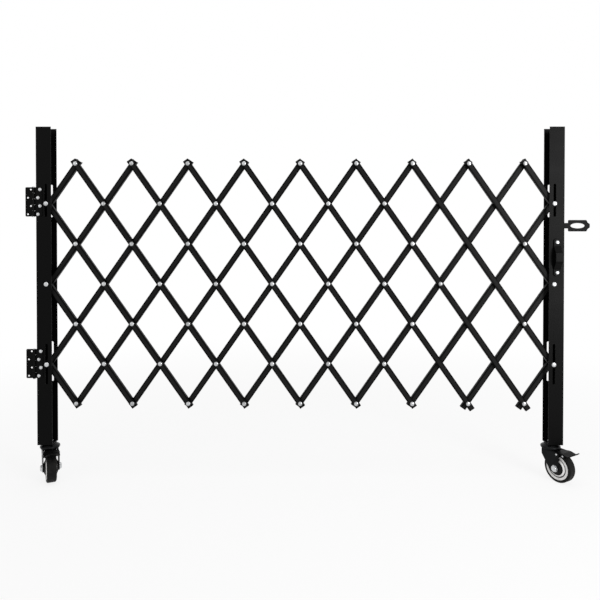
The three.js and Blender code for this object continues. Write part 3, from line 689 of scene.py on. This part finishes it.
def bar_mesh(length, top):
    """A bar that hangs down from top, its web in the plane y = 0."""
    return grown(bar_tree, bpy.data.meshes.new("seed"), face=bar_face, depth=bar_depth, wall=bar_wall,
                 corner=bar_corner, length=length, top=top, finish=bar_coat)


sample = bar_mesh(100.0, 14.0)
for axis in range(3):
    places = [vertex.co[axis] for vertex in sample.vertices]
    print("sample bar along", "XYZ"[axis], "from", round(min(places), 2), "to", round(max(places), 2))

# %% [markdown]
# The lattice follows a rule, so its bars are counted out and not drawn. Pivots stand in half
# cells across and in seven levels down. A front bar steps one half cell to the right at each
# level, and a rear bar one to the left. Bars that would pass a post stop at it, and the lowest
# ends near the right post are longer, as on the real gate.

# %% Bars
half_cells, lowest_level = 18, 6
upper_level, middle_level, lower_level = 1, 3, 5  # where the pins of the posts are
pivot_pitch, open_angle = 168, 35
bar_tail, long_tail, long_tail_cell = 14.5, 25, 15
running_gap = 0.4
front_web = -(running_gap / 2 + bar_depth)
rear_web = running_gap / 2
cell_width = pivot_pitch * math.sin(math.radians(open_angle))
level_height = pivot_pitch * math.cos(math.radians(open_angle))


def pivot_at(cell, level):
    return cell * cell_width - pin_x, pivot_z + (middle_level - level) * level_height


def bar_runs(is_front):
    """The pivots of each bar from the top down, as (half cell, level)."""
    starts = range(1 - lowest_level, half_cells, 2) if is_front else range(1, half_cells + lowest_level, 2)
    for start in starts:
        run = [(start + level if is_front else start - level, level) for level in range(lowest_level + 1)]
        yield [pivot for pivot in run if 0 <= pivot[0] <= half_cells]


for is_front, layer in ((True, "front"), (False, "rear")):
    for number, run in enumerate(bar_runs(is_front), 1):
        is_long = run[-1][1] == lowest_level and run[-1][0] >= long_tail_cell
        length = (len(run) - 1) * pivot_pitch + bar_tail + (long_tail if is_long else bar_tail)
        x, z = pivot_at(*run[0])
        lean, web_at = (-open_angle, front_web) if is_front else (open_angle, rear_web)
        name = f"{layer}_bar_{number:02d}"
        place = GATE @ shift(x, 0, z) @ turn(lean, "Y") @ shift(0, web_at, 0)
        piece(f"{name}_channel", bar_mesh(length, bar_tail), place, name, "bar_coat", name)
print("bars:", len(pieces))

# %% [markdown]
# Nearly every crossing of the lattice has a domed rivet. A second tree sets one on each point of a
# small mesh. The dome is a flat cylinder cap with rings on it, and a formula lifts the rings: fully
# in the middle and not at all at the rim. Making the rivet once and repeating it keeps them alike.

# %% Geometry Nodes: rivets
rivet_tree, nodes, sizes = new_tree("rivets", {
    "Head": "Float", "Rise": "Float", "Shank": "Float", "Reach": "Float", "Tail": "Float",
    "Tail Rise": "Float", "Finish": "Material"}, True)


def dome(width, rise, sides, rings):
    """A cap that rises along Z from a thin edge. Its rim mark is 0 in the middle and 1 at the edge."""
    radius, edge = width / 2, rise * 0.16
    made = nodes.node("GeometryNodeMeshCylinder", {"fill_type": "TRIANGLE_FAN"}, {
        "Vertices": sides, "Side Segments": 1, "Fill Segments": rings, "Radius": radius, "Depth": edge})
    x, y, z = place_of_point()
    share = (x * x + y * y) / (radius * radius)
    lifted = nodes.math("MAXIMUM", 1 - share, 0.0) ** 0.62 * (rise - edge)
    is_top = nodes.math("GREATER_THAN", z, 0.0)
    return nodes.node("GeometryNodeSetPosition", {}, {
        "Geometry": marked(made, "rim", share), "Offset": vector(Z=lifted * is_top + edge / 2)})


def join(*parts):
    made = nodes.tree.nodes.new("GeometryNodeJoinGeometry")
    for part in parts:
        nodes.tree.links.new(part.socket, made.inputs[0])
    return Wire(nodes.tree, made.outputs[0])


head = dome(sizes["Head"], sizes["Rise"], 28, 5)
tail = nodes.node("GeometryNodeTransform", {}, {
    "Geometry": dome(sizes["Tail"], sizes["Tail Rise"], 16, 2),
    "Translation": vector(Z=sizes["Reach"] * -1), "Rotation": (math.pi, 0, 0)})
shank = nodes.node("GeometryNodeMeshCylinder", {"fill_type": "NGON"}, {
    "Vertices": 16, "Radius": sizes["Shank"] / 2, "Depth": sizes["Reach"]})
shank = nodes.node("GeometryNodeTransform", {}, {
    "Geometry": shank, "Translation": vector(Z=sizes["Reach"] * -0.5)})
lead_out(nodes.node("GeometryNodeInstanceOnPoints", {}, {
    "Points": sizes["Geometry"], "Instance": join(head, tail, shank)}))
print("rivet tree nodes:", len(rivet_tree.nodes))

# %% [markdown]
# The rivets of a bar are one piece, and it rides on the front bar so that they fold with it. Seven
# crossings near the right post show no rivet in the photo, so they are left out of the points.

# %% Lattice rivets
plain_crossings = {(14, 1), (14, 5), (15, 2), (15, 4), (16, 1), (16, 3), (16, 5)}
seat_gap = 0.3
tail_foot = rear_web + bar_wall + seat_gap
rivet_count = 0


def rivets_at(places, **values):
    """Rivets on points in XY that face along Z."""
    points = bpy.data.meshes.new("points")
    points.from_pydata([(x, y, 0) for x, y in places], [], [])
    return grown(rivet_tree, points, finish=zinc, **values)


for number, run in enumerate(bar_runs(True), 1):
    riveted = [pivot for pivot in run if 0 < pivot[0] < half_cells and pivot not in plain_crossings]
    if not riveted:
        continue
    mesh = rivets_at([pivot_at(*pivot) for pivot in riveted], head=16.0, rise=3.2, shank=6.0,
                     reach=tail_foot - front_web, tail=11.0, tail_rise=1.6)
    piece(f"front_bar_{number:02d}_rivets", mesh, GATE @ shift(0, front_web, 0) @ FACING,
          f"front_bar_{number:02d}", "zinc", smooth=50)
    rivet_count += len(riveted)
print("rivets:", rivet_count)

# %% [markdown]
# The posts are long channels, open towards the lattice, with slots in which the upper and lower
# pins slide as the gate folds. The outline is lifted to a prism, and a boolean cuts the slots
# through both walls. Their edges are broken, because the coat rounds them on a real post.

# %% Posts
SIDES = (("left", -1), ("right", 1))
post_face, post_depth, post_wall, post_corner, post_length = 52, 50, 2, 3, 1089
half_depth = post_depth / 2
inner_half = half_depth - post_wall
wall_in, wall_out = inner_half - seat_gap, half_depth + seat_gap
pin_from_edge, pivot_up_post = 34, 552
post_foot = pivot_z - pivot_up_post
foot_plate, foot_hole = 4, 12.6
folded_angle, spread_angle = 3.6, 45
slot_width, slot_spare, run_out = 9, 3, 26
tongue_up_post, tongue_neck, tongue_plate, tongue_play = 752, 19, 3, 0.5
overcut = 10  # how far a cutter stands out of the walls that it cuts


def up_post(level, angle):
    return pivot_up_post + (middle_level - level) * pivot_pitch * math.cos(math.radians(angle))


def pin_slot(level):
    """A cutter as long as the way of a pin between the folded and the spread gate."""
    ends = [up_post(level, angle) for angle in (folded_angle, spread_angle)]
    half = slot_width / 2
    bottom, top = min(ends) - half - slot_spare, max(ends) + half + slot_spare
    if level == lower_level:
        top += run_out
    outline = oblong(-half, bottom, half, top, half * 0.999, 10)  # the ends are all but half circles
    return moved(prism(outline, post_depth + 2 * overcut), FACING @ shift(0, 0, -half_depth - overcut))


def tongue_cut():
    half_width, half_height = tongue_plate / 2 + tongue_play, tongue_neck / 2 + seat_gap
    bar = prism(oblong(-half_width, -half_height, half_width, half_height), 2 * overcut)
    return moved(bar, shift(pin_from_edge - overcut, 0, tongue_up_post) @ turn(90, "Y") @ turn(90, "Z"))


post_outline = rounded([
    (-half_depth, post_face), (-half_depth, 0, post_corner), (half_depth, 0, post_corner),
    (half_depth, post_face), (inner_half, post_face), (inner_half, post_wall, 1),
    (-inner_half, post_wall, 1), (-inner_half, post_face)], 6)
for side_name, way in SIDES:
    at_foot = GATE @ shift(way * pin_x, 0, post_foot)
    stock = moved(prism(post_outline, post_length), shift(way * pin_from_edge, 0, 0) @ turn(way * 90, "Z"))
    cuts = [pin_slot(upper_level), pin_slot(lower_level)]
    if side_name == "right":
        cuts.append(tongue_cut())
    channel = carved(stock, joined(*cuts), 0.45)
    piece(f"{side_name}_post_channel", channel, at_foot,
          f"{side_name}_post", "black_coat", f"{side_name}_post")
    edges = sorted([way * (pin_from_edge - post_wall - seat_gap), way * (pin_from_edge - post_face)])
    foot = plate(oblong(edges[0], -wall_in, edges[1], wall_in, 1), [circle(0, 0, foot_hole / 2)], foot_plate)
    piece(f"{side_name}_post_foot", foot, at_foot,
          f"{side_name}_post", "black_coat", f"{side_name}_foot_plate")
    print(side_name, "post:", len(channel.polygons), "faces")

# %% [markdown]
# Each post has three headed pins with collars that keep the bars in the middle of the channel. A
# pin is turned from one profile, and its corners are rounded in the profile itself, so no bevel is
# needed afterwards.

# %% Pins of the posts
pin_head, pin_head_rise, pin_neck, pin_collar, pin_shank = 8, 3, 4, 6, 3  # all but the rise are radii


def pin_half(way, collar_end):
    """The profile from the shank out to the middle of a head, on one side of the lattice."""
    head_end = wall_out + pin_head_rise
    outward = [
        (pin_shank, collar_end), (pin_collar, collar_end, 0.4), (pin_collar, wall_in, 0.4),
        (pin_neck, wall_in), (pin_neck, wall_out), (pin_head, wall_out, 0.2),
        (pin_head - 0.4, wall_out + 1.6, 2), (pin_neck, head_end, 4), (0, head_end)]
    return [(radius, way * height, *corner) for radius, height, *corner in outward]


pin_profile = rounded(pin_half(-1, seat_gap - front_web)[::-1] + pin_half(1, tail_foot), 4, closed=False)
pin_nodes = {
    upper_level: "upper_slide_pin", middle_level: "middle_pivot_pin", lower_level: "lower_slide_pin"}
pin_riders = {
    "left": {upper_level: "front_bar_03", middle_level: "left_post", lower_level: "front_bar_01"},
    "right": {upper_level: "front_bar_12", middle_level: "right_post", lower_level: "front_bar_10"},
}
for side_name, way in SIDES:
    for level, node in pin_nodes.items():
        at_pin = GATE @ shift(way * pin_x, 0, post_foot + up_post(level, open_angle))
        piece(f"{side_name}_{node}_turned", turned(pin_profile, 32), at_pin @ FACING.inverted(),
              pin_riders[side_name][level], "zinc", f"{side_name}_{node}")
print("pieces so far:", len(pieces))

# %% [markdown]
# Two butt hinges carry the gate. A leaf is a plate with a comb of tabs that roll into knuckles
# round the pin. Where the other leaf has a knuckle, a thin lip at the back of the plate reaches in
# under it, so that no light shows between the two. The wall leaf has countersunk screw holes. Each
# countersink is a turned ring set in a plain hole, which stays cleaner than cutting cones out of a
# thin plate.

# %% Hinge leaves
hinge_length, leaf_reach, leaf_thickness, leaf_corner = 100, 28, 2.2, 4
barrel, hinge_pin, knuckle_count = 9, 4.6, 5
wall_knuckles, post_knuckles = (0, 2, 4), (1, 3)
hinge_out, hinge_heights = 6, {"upper": 833, "lower": 281}
wall_columns, rivet_columns, hole_rows = (20, 10), (14, 21), 28
screw_hole, countersink = 5.6, 9.6
knuckle = hinge_length / knuckle_count
leaf_back = barrel / 2
lip_tip, lip_root, lip_thickness = 2.5, leaf_back + 1.5, 0.6


def knuckle_span(index, clear):
    """Where a knuckle starts and ends along the pin, less a clearance at both ends."""
    start = index * knuckle - hinge_length / 2
    return start + clear, start + knuckle - clear


def comb(own):
    """The outline of a leaf that reaches along +X, with a tab for each of its knuckles."""
    root, half = leaf_back + running_gap, hinge_length / 2
    spans = [knuckle_span(index, 0.2) for index in reversed(own)]
    tabs = [point for low, high in spans for point in ((root, high), (0, high), (0, low), (root, low))]
    # The outermost tabs carry on the edges of the leaf.
    tabs = tabs[1:-1] if 0 in own else [(root, half), *tabs, (root, -half)]
    return rounded([(leaf_reach, -half, leaf_corner), (leaf_reach, half, leaf_corner), *tabs], 6)


def lips(own):
    """Thin strips at the back of a leaf, one under each knuckle of the other leaf."""
    spans = [knuckle_span(index, 0.4) for index in range(knuckle_count) if index not in own]
    return [plate(oblong(lip_tip, low, lip_root, high), [], lip_thickness, 0.1) for low, high in spans]


def knuckle_ring(index):
    low, high = knuckle_span(index, 0.2)
    outside, inside = barrel / 2, hinge_pin / 2 + 0.25
    return ring_mesh([(inside, low), (outside, low, 0.5), (outside, high, 0.5), (inside, high)], 3, 28)


def countersink_ring():
    hole, sink, top = screw_hole / 2, countersink / 2, leaf_thickness - 0.25
    profile = [(hole, 0), (hole, 0.5), (sink - 0.1, top), (sink + 0.2, top), (sink + 0.2, 0)]
    return turned(profile, 28, closed=True)


def staggered(columns):
    return [(columns[index % 2], (index - 1.5) * hole_rows) for index in range(4)]


to_plate = shift(0, leaf_back, 0) @ FACING


def leaf_mesh(own, way, screws=()):
    """A leaf that reaches along way times X, with its own knuckles and countersunk screw holes."""
    sheet = plate(comb(own), [circle(x, y, countersink / 2) for x, y in screws], leaf_thickness, 0.3)
    sinks = [moved(countersink_ring(), shift(x, y, 0)) for x, y in screws]
    flat = moved(joined(sheet, *sinks, *lips(own)), to_plate @ Matrix.Scale(way, 4, (1, 0, 0)))
    return joined(flat, *[knuckle_ring(index) for index in own])


print("a knuckle lies from", *(round(end, 1) for end in knuckle_span(0, 0.2)), "mm along the pin")

# %% [markdown]
# Both leaves of a hinge turn on one pin with a cap at either end. The wall leaf stays with the
# wall and the other one with the left post, which it is riveted to. The rivet tree makes those
# heads too.

# %% Place the hinges
hinge_end, cap_radius, cap_height = hinge_length / 2 + seat_gap, barrel / 2 - seat_gap, 1.6
hinge_pin_profile = mirrored([
    (0, -hinge_end - cap_height), (cap_radius, -hinge_end - cap_height, 1), (cap_radius, -hinge_end, 0.2),
    (hinge_pin / 2, -hinge_end)], 4, closed=False)
for prefix, height in hinge_heights.items():
    axis = GATE @ shift(-pin_x - pin_from_edge - hinge_out, -wall_out - leaf_back, post_foot + height)
    piece(f"{prefix}_wall_leaf_plate", leaf_mesh(wall_knuckles, -1, staggered(wall_columns)), axis,
          "wall_leaves", "black_coat", f"{prefix}_wall_leaf")
    piece(f"{prefix}_post_leaf_plate", leaf_mesh(post_knuckles, 1), axis,
          "left_post", "black_coat", f"{prefix}_post_leaf")
    heads = rivets_at(staggered(rivet_columns), head=12.6, rise=2.4, shank=5.0,
                      reach=leaf_thickness + 2 * seat_gap + post_wall, tail=9.0, tail_rise=1.5)
    piece(f"{prefix}_post_leaf_rivets", heads, axis @ to_plate @ shift(0, 0, leaf_thickness),
          "left_post", "zinc", smooth=50)
    piece(f"{prefix}_hinge_pin_turned", turned(hinge_pin_profile, 28), axis,
          "wall_leaves", "zinc", f"{prefix}_hinge_pin")
print("pieces so far:", len(pieces))

# %% [markdown]
# The pull handle is a strap of flat steel, cut with round ends and two holes and bent to a bow. It
# is bolted to the front of the right post. Its holes are cut before it is bent, as in a workshop,
# so they need no boolean in a curved piece.

# %% Pull handle
handle_bolts, handle_above_pivot, handle_width, handle_strap = 103, 91.5, 24, 4
handle_proud, handle_foot, strap_corner, strap_hole = 22, 13, 9, 8.2
bow_foot, bow_grip, bow_bend = 38, 16, 14  # where the bow leaves the post, where it is straight, its bends
handle_x = pin_from_edge - post_face / 2
handle_z = post_foot + pivot_up_post + handle_above_pivot
handle_end = handle_bolts / 2 + handle_foot
foot_line, grip_line = seat_gap + handle_strap / 2, handle_proud - handle_strap / 2
bow = [(-handle_end, foot_line), (-bow_foot, foot_line, bow_bend), (-bow_grip, grip_line, bow_bend),
       (bow_grip, grip_line, bow_bend), (bow_foot, foot_line, bow_bend), (handle_end, foot_line)]
strap_length = stations_of(bow)[1][-1]
strap_outline = oblong(0, -handle_width / 2, strap_length, handle_width / 2, strap_corner, 8)
strap_holes = [circle(run, 0, strap_hole / 2) for run in (handle_foot, strap_length - handle_foot)]
strap = bend(plate(strap_outline, strap_holes, handle_strap, 0.9), bow, handle_strap)
# The strap's length goes up and its outside to the front.
UPRIGHT = Matrix(((0, -1, 0, 0), (0, 0, -1, 0), (1, 0, 0, 0), (0, 0, 0, 1)))
on_face = GATE @ shift(pin_x + handle_x, -half_depth, handle_z)
piece("pull_handle_strap", strap, on_face @ UPRIGHT, "right_post", "black_coat", "pull_handle")

bolt_head, bolt_rise, bolt_shank, bolt_nut = 6.5, 3.6, 3.8, 6  # all but the rise are radii
bolt_foot, nut_foot, nut_end = seat_gap + handle_strap + seat_gap, -post_wall - seat_gap, -post_wall - 4.8
bolt_profile = rounded([
    (0, bolt_foot + bolt_rise), (3.5, bolt_foot + bolt_rise, 4), (bolt_head - 0.2, bolt_foot + 1.6, 2),
    (bolt_head, bolt_foot, 0.3), (bolt_shank, bolt_foot), (bolt_shank, nut_foot),
    (bolt_nut, nut_foot, 0.5), (bolt_nut, nut_end, 0.8), (0, nut_end)], 4, closed=False)
for node, up in (("lower_handle_bolt", -1), ("upper_handle_bolt", 1)):
    piece(f"{node}_turned", turned(bolt_profile, 32), on_face @ shift(0, 0, up * handle_bolts / 2) @ FACING,
          "right_post", "zinc", node)
print("strap cut to", round(strap_length, 1), "mm")

# %% [markdown]
# Above the handle a tongue with a long hole for a padlock comes out through the side of the post.
# It is a flat plate with a pointed nose, and a second plate inside the post anchors it.

# %% Padlock tongue
neck_length, tongue_length, tongue_height = 22.5, 74.5, 39.5
nose_length, tip_length, nose_half, tip_half = 12, 7, 10.5, 6.5
hole_middle, hole_long, hole_high = 32.5, 49, 18
anchor_width, anchor_height = 18, 38
tongue_end = neck_length + tongue_length
anchor_face = -post_wall - seat_gap
tongue_hole = [Vector((neck_length + hole_middle + point.x * hole_long / 2, point.y * hole_high / 2))
               for point in circle(0, 0, 1, 40)]
tongue_outline = mirrored([
    (anchor_face, -tongue_neck / 2), (neck_length, -tongue_neck / 2, 2), (neck_length, -tongue_height / 2, 4),
    (tongue_end - nose_length, -tongue_height / 2, 4), (tongue_end - tip_length, -nose_half, 3),
    (tongue_end, -tip_half, 4)], 8)
tongue = plate(tongue_outline, [tongue_hole], tongue_plate, 0.5)
tongue = moved(tongue, FACING @ shift(0, 0, -tongue_plate / 2))
anchor_outline = oblong(-anchor_width / 2, -anchor_height / 2, anchor_width / 2, anchor_height / 2, 2)
anchor = plate(anchor_outline, [], tongue_plate, 0.5)
anchor = moved(anchor, shift(anchor_face - tongue_plate, 0, 0) @ FACING @ turn(90, "Y"))
piece("padlock_tongue_plate", joined(tongue, anchor),
      GATE @ shift(pin_x + pin_from_edge, 0, post_foot + tongue_up_post),
      "right_post", "black_coat", "padlock_tongue")
print("pieces so far:", len(pieces))

# %% [markdown]
# A caster is a stack: a pressed cup under the post, a fork that turns in it on balls, a wheel and
# a brake pedal. The fork is one sheet bent to a bridge with two legs, so it is bent here from a
# flat blank as well, and a brake shoe is fixed under the bridge, just over the tyre. Everything is
# made for a caster that trails along +X and is then turned into place.

# %% Caster forks and cups
wheel_radius, wheel_width, tyre_inside, trail = 50, 32, 82, 36
crown_under, fork_plate, fork_width = 104, 3, 54
leg_width, leg_foot, leg_round = 50, wheel_radius - 14, 14
axle_hole, stud_hole = 10.6, 6.6
pedal_ahead, pedal_z = 41, 99  # the axis of the brake pedal
race_top, race_bore, race_skirt = crown_under + fork_plate + 11, 12.8, 60
caster_height = race_top + running_gap + 3
cup_plate, cup_bore, cup_outside, cup_drop = 3, 12.6, 66, 12
shoe_start, shoe_end, shoe_width, shoe_plate = 14, 34, 38, 2.8


def fork_mesh():
    """A sheet bent to a bridge over the wheel, the raised race on it and the brake shoe under it."""
    leg_line, crown_line = (fork_width - fork_plate) / 2, crown_under + fork_plate / 2
    line = [(-leg_line, leg_foot), (-leg_line, crown_line, 4),
            (leg_line, crown_line, 4), (leg_line, leg_foot)]
    whole, to_crown = stations_of(line)[1][-1], crown_under - leg_foot
    half_blank = [(to_crown - 16, -16, leg_round), (0, 19, leg_round), (0, leg_width, leg_round),
                  (to_crown, leg_width, 6), (to_crown + 6, 23, 3)]
    blank = rounded(half_blank + [(whole - x, y, radius) for x, y, radius in reversed(half_blank)], 6)
    leg_holes = ((wheel_radius - leg_foot, trail, axle_hole), (pedal_z - leg_foot, pedal_ahead, stud_hole))
    holes = [circle(x, y, hole / 2, 24) for run, y, hole in leg_holes for x in (run, whole - run)]
    bridge = moved(bend(plate(blank, holes, fork_plate, 0.5), line, fork_plate), turn(-90, "Z"))
    bore, skirt, skirt_foot = race_bore / 2, race_skirt / 2, crown_under + 5
    race = ring_mesh([
        (bore, crown_under + 0.5), (bore, race_top), (19.8, race_top, 1), (skirt, caster_height - 9.7, 2),
        (skirt, skirt_foot), (skirt + 1, skirt_foot, 0.4), (skirt + 1, crown_under + fork_plate - 1)], 4, 64)
    shoe = plate(oblong(shoe_start, -shoe_width / 2, shoe_end, shoe_width / 2, 2), [], shoe_plate, 0.4)
    return joined(bridge, race, moved(shoe, shift(0, 0, crown_under + 0.2 - shoe_plate)))


def cup_mesh():
    bore, outside, rim = cup_bore / 2, cup_outside / 2, caster_height - cup_drop
    return ring_mesh([
        (bore, caster_height - cup_plate), (bore, caster_height), (20, caster_height, 9),
        (outside, caster_height - 8, 4), (outside, rim, 0.8), (outside - 2.6, rim, 0.8),
        (outside - 2.6, rim + 2.5, 1), (19.9, caster_height - cup_plate, 6)], 6, 72)


print("caster height:", caster_height)

# %% [markdown]
# The wheel is a nylon hub in a rubber tyre with soft shoulders. A dark disc stands round the axle on each
# face of the hub. A dark ring lies in the hub's recess: it is painted shade, a sheet that stands in for the
# shadow deep in the recess. All of them are round, so each one is turned from its section. The ring-shaped
# recess of the hub is a step in that section, and needs no boolean.

# %% Wheels
half_wheel, boss_face = wheel_width / 2, fork_width / 2 - fork_plate - running_gap
hub_boss, sink_inside, sink_outside, sink_depth = 24, 58, 66, 7
disc_inside, disc_outside, disc_proud = 21.2, 48, 2.6
shade_ring_inside, shade_ring_outside, shade_ring_sunk = 58.4, 65.6, 4.6


def tyre_mesh():
    return turned(mirrored([
        (tyre_inside / 2, half_wheel - 1, 0.3), (wheel_radius - 4, half_wheel, 1.2),
        (wheel_radius, half_wheel - 3.4, 3)]), 96, closed=True)


def hub_mesh():
    face, sink = half_wheel - 1, half_wheel - sink_depth
    return turned(mirrored([
        (axle_hole / 2, boss_face), (hub_boss / 2, boss_face, 0.8), (sink_inside / 2, face, 1),
        (sink_inside / 2, sink, 0.8), (sink_outside / 2, sink, 0.8), (sink_outside / 2, face, 0.6),
        (tyre_inside / 2 - 0.3, face, 0.4)]), 72, closed=True)


def disc_and_shade_ring_mesh():
    """Dark pieces on both faces of the hub: a disc round the axle, and a ring of painted shade in the recess.
    """
    top, sunk, sunk_foot = boss_face + 0.2, half_wheel - shade_ring_sunk, half_wheel - sink_depth + 0.2
    disc = ring_mesh([
        (disc_inside / 2, half_wheel), (disc_inside / 2, top), (disc_inside / 2 + 2.6, top, 1.5),
        (disc_outside / 2, half_wheel + disc_proud, 1), (disc_outside / 2, half_wheel)], 4, 64)
    # The ring is painted shade: a dark sheet in the hub's recess, where the shadow falls.
    ring = ring_mesh([
        (shade_ring_inside / 2, sunk_foot), (shade_ring_inside / 2, sunk, 0.8),
        (shade_ring_outside / 2, sunk, 0.8), (shade_ring_outside / 2, sunk_foot)], 3, 72)
    front = joined(disc, ring)
    return joined(front, moved(front.copy(), turn(180, "X")))


print("width over the bosses:", round(2 * boss_face, 1), "mm")

# %% [markdown]
# A bolt through the fork is the axle, and another one, the kingpin, holds the stack together. Of
# their threads nothing shows, so a plain rod stands for them and only the nuts and washers count.

# %% Nuts, axles and kingpins
nut_flats, nut_height, washer_height, washer_radius = 19, 7, 1.2, 11.2
axle_radius, kingpin_radius = 5, 6


def nut_mesh(flats, low, high):
    """A hexagon nut along Z with chamfered corners and a raised locking collar."""
    tip = flats / 2 / math.cos(math.pi / 6)
    body = high - 1.4
    chamfer = (body - low) * 0.16
    profile = [(0, low), (flats / 2, low), (tip, low + chamfer), (tip, body - chamfer), (flats / 2, body),
               (flats * 0.42, body + 0.1), (flats * 0.4, high - 0.4), (flats * 0.37, high), (0, high)]
    return turned(profile, 48, flats)


def rod_mesh(radius, low, high, sides):
    return turned([(0, low), (radius, low), (radius, high), (0, high)], sides)


def axle_mesh():
    foot = fork_width / 2 + seat_gap
    ends = []
    for degrees in (0, 180):
        washer = rod_mesh(washer_radius, foot, foot + washer_height, 40)
        nut = nut_mesh(nut_flats, foot + washer_height, foot + nut_height)
        ends += [moved(part, turn(degrees, "X")) for part in (washer, nut)]
    return joined(rod_mesh(axle_radius, -foot - 2, foot + 2, 28), *ends)


def kingpin_mesh():
    head_foot, nut_top = post_foot + foot_plate + seat_gap, crown_under - seat_gap
    head = nut_mesh(nut_flats, head_foot, head_foot + nut_height)
    nut = moved(nut_mesh(nut_flats, -nut_top, nut_height - nut_top), turn(180, "X"))
    return joined(head, rod_mesh(kingpin_radius, nut_top - 5, head_foot + 4, 32), nut)


print("nut over its corners:", round(nut_flats / math.cos(math.pi / 6), 1), "mm")

# %% [markdown]
# The brake pedal is a tread that lies over the wheel, dips and then curls up to a narrow toe. Two
# ears hang from it inside the fork's legs, and it rocks on studs in them. The tread is bent from a
# flat blank whose width changes along its length, which is how the wide part and the toe come about.

# %% Brake pedal
pedal_plate, ear_plate = 3, 2.5
pedal_root, pedal_fold, pedal_dip, pedal_toe = 35.6, 61.6, 82, 103
root_half, tread_half, toe_half = 22, 26, 10
ear_inside, ear_rivet = 19.5, 61
stud_head, stud_rise, stud_radius = 3.6, 1.6, 2.8
tread_z = crown_under + pedal_plate / 2
pedal_line = [(pedal_root, tread_z), (pedal_fold, tread_z, 14), (pedal_dip, tread_z - 5, 8),
              (pedal_toe, tread_z + 10)]


def pedal_mesh():
    dip_run, toe_run = run_at(pedal_line, pedal_dip), stations_of(pedal_line)[1][-1]
    blank = mirrored([(toe_run, -toe_half, 7), (dip_run, -tread_half, 14), (17.5, -tread_half, 6),
                      (11.5, -root_half, 6), (0, -root_half, 0.6)], 7)
    tread = bend(plate(blank, [], pedal_plate, 0.6), pedal_line, pedal_plate)
    ear = rounded([(pedal_root, tread_z), (30, pedal_z, 3), (35, pedal_z - 8, 6),
                   (pedal_fold + 6, pedal_z - 6, 3), (pedal_fold, tread_z)])
    ears = [moved(plate(ear, [], ear_plate, 0.5), shift(0, y, 0) @ FACING)
            for y in (-ear_inside, ear_inside + ear_plate)]
    return joined(tread, *ears)


def stud_mesh():
    """The two studs in the fork's legs and the two rivets on the ears, all with domed zinc heads."""
    parts, inner = [], ear_inside + 0.3
    for ahead, height, foot in ((pedal_ahead, pedal_z, fork_width / 2 + 0.2),
                                (ear_rivet, pedal_z - 1, ear_inside + ear_plate + 0.1)):
        profile = rounded([(0, foot + stud_rise), (2, foot + stud_rise, 3), (stud_head, foot, 0.2),
                           (stud_radius, foot), (stud_radius, inner), (0, inner)], 4, closed=False)
        parts += [moved(turned(profile, 24), shift(ahead, 0, height) @ turn(degrees, "X"))
                  for degrees in (90, -90)]
    return joined(*parts)


print("pedal plate along its bends:", round(stations_of(pedal_line)[1][-1], 1), "mm")

# %% [markdown]
# A caster swivels freely, so the two had come to rest at angles of their own. Both are built by the
# same functions, and only those angles tell them apart.

# %% Place the casters
caster_turns = {"left": -63.5, "right": -58}
for side_name, way in SIDES:
    stand = GATE @ shift(way * pin_x, 0, 0)
    turning = stand @ turn(caster_turns[side_name], "Z")
    on_axle = turning @ shift(trail, 0, wheel_radius) @ FACING
    for name, mesh, place, body, slot, *solids in (
            ("cup", cup_mesh(), stand, "post", "dark_steel", "race_cup"),
            ("kingpin_bolt", kingpin_mesh(), stand, "post", "zinc", "kingpin"),
            ("bridge", fork_mesh(), turning, "fork", "dark_steel", "fork"),
            ("axle_bolt", axle_mesh(), on_axle, "fork", "zinc", "axle"),
            ("tyre_ring", tyre_mesh(), on_axle, "wheel", "tyre_rubber", "tyre"),
            ("hub_disc", hub_mesh(), on_axle, "wheel", "nylon", "wheel_hub"),
            ("dust_covers", disc_and_shade_ring_mesh(), on_axle, "wheel", "tyre_rubber"),
            ("pedal_tread", pedal_mesh(), turning, "brake_pedal", "black_coat", "brake_pedal"),
            ("pedal_studs", stud_mesh(), turning, "brake_pedal", "zinc")):
        piece(f"{side_name}_caster_{name}", mesh, place, f"{side_name}_{body}", slot,
              *(f"{side_name}_caster_{solid}" for solid in solids))
print("pieces:", len(pieces))
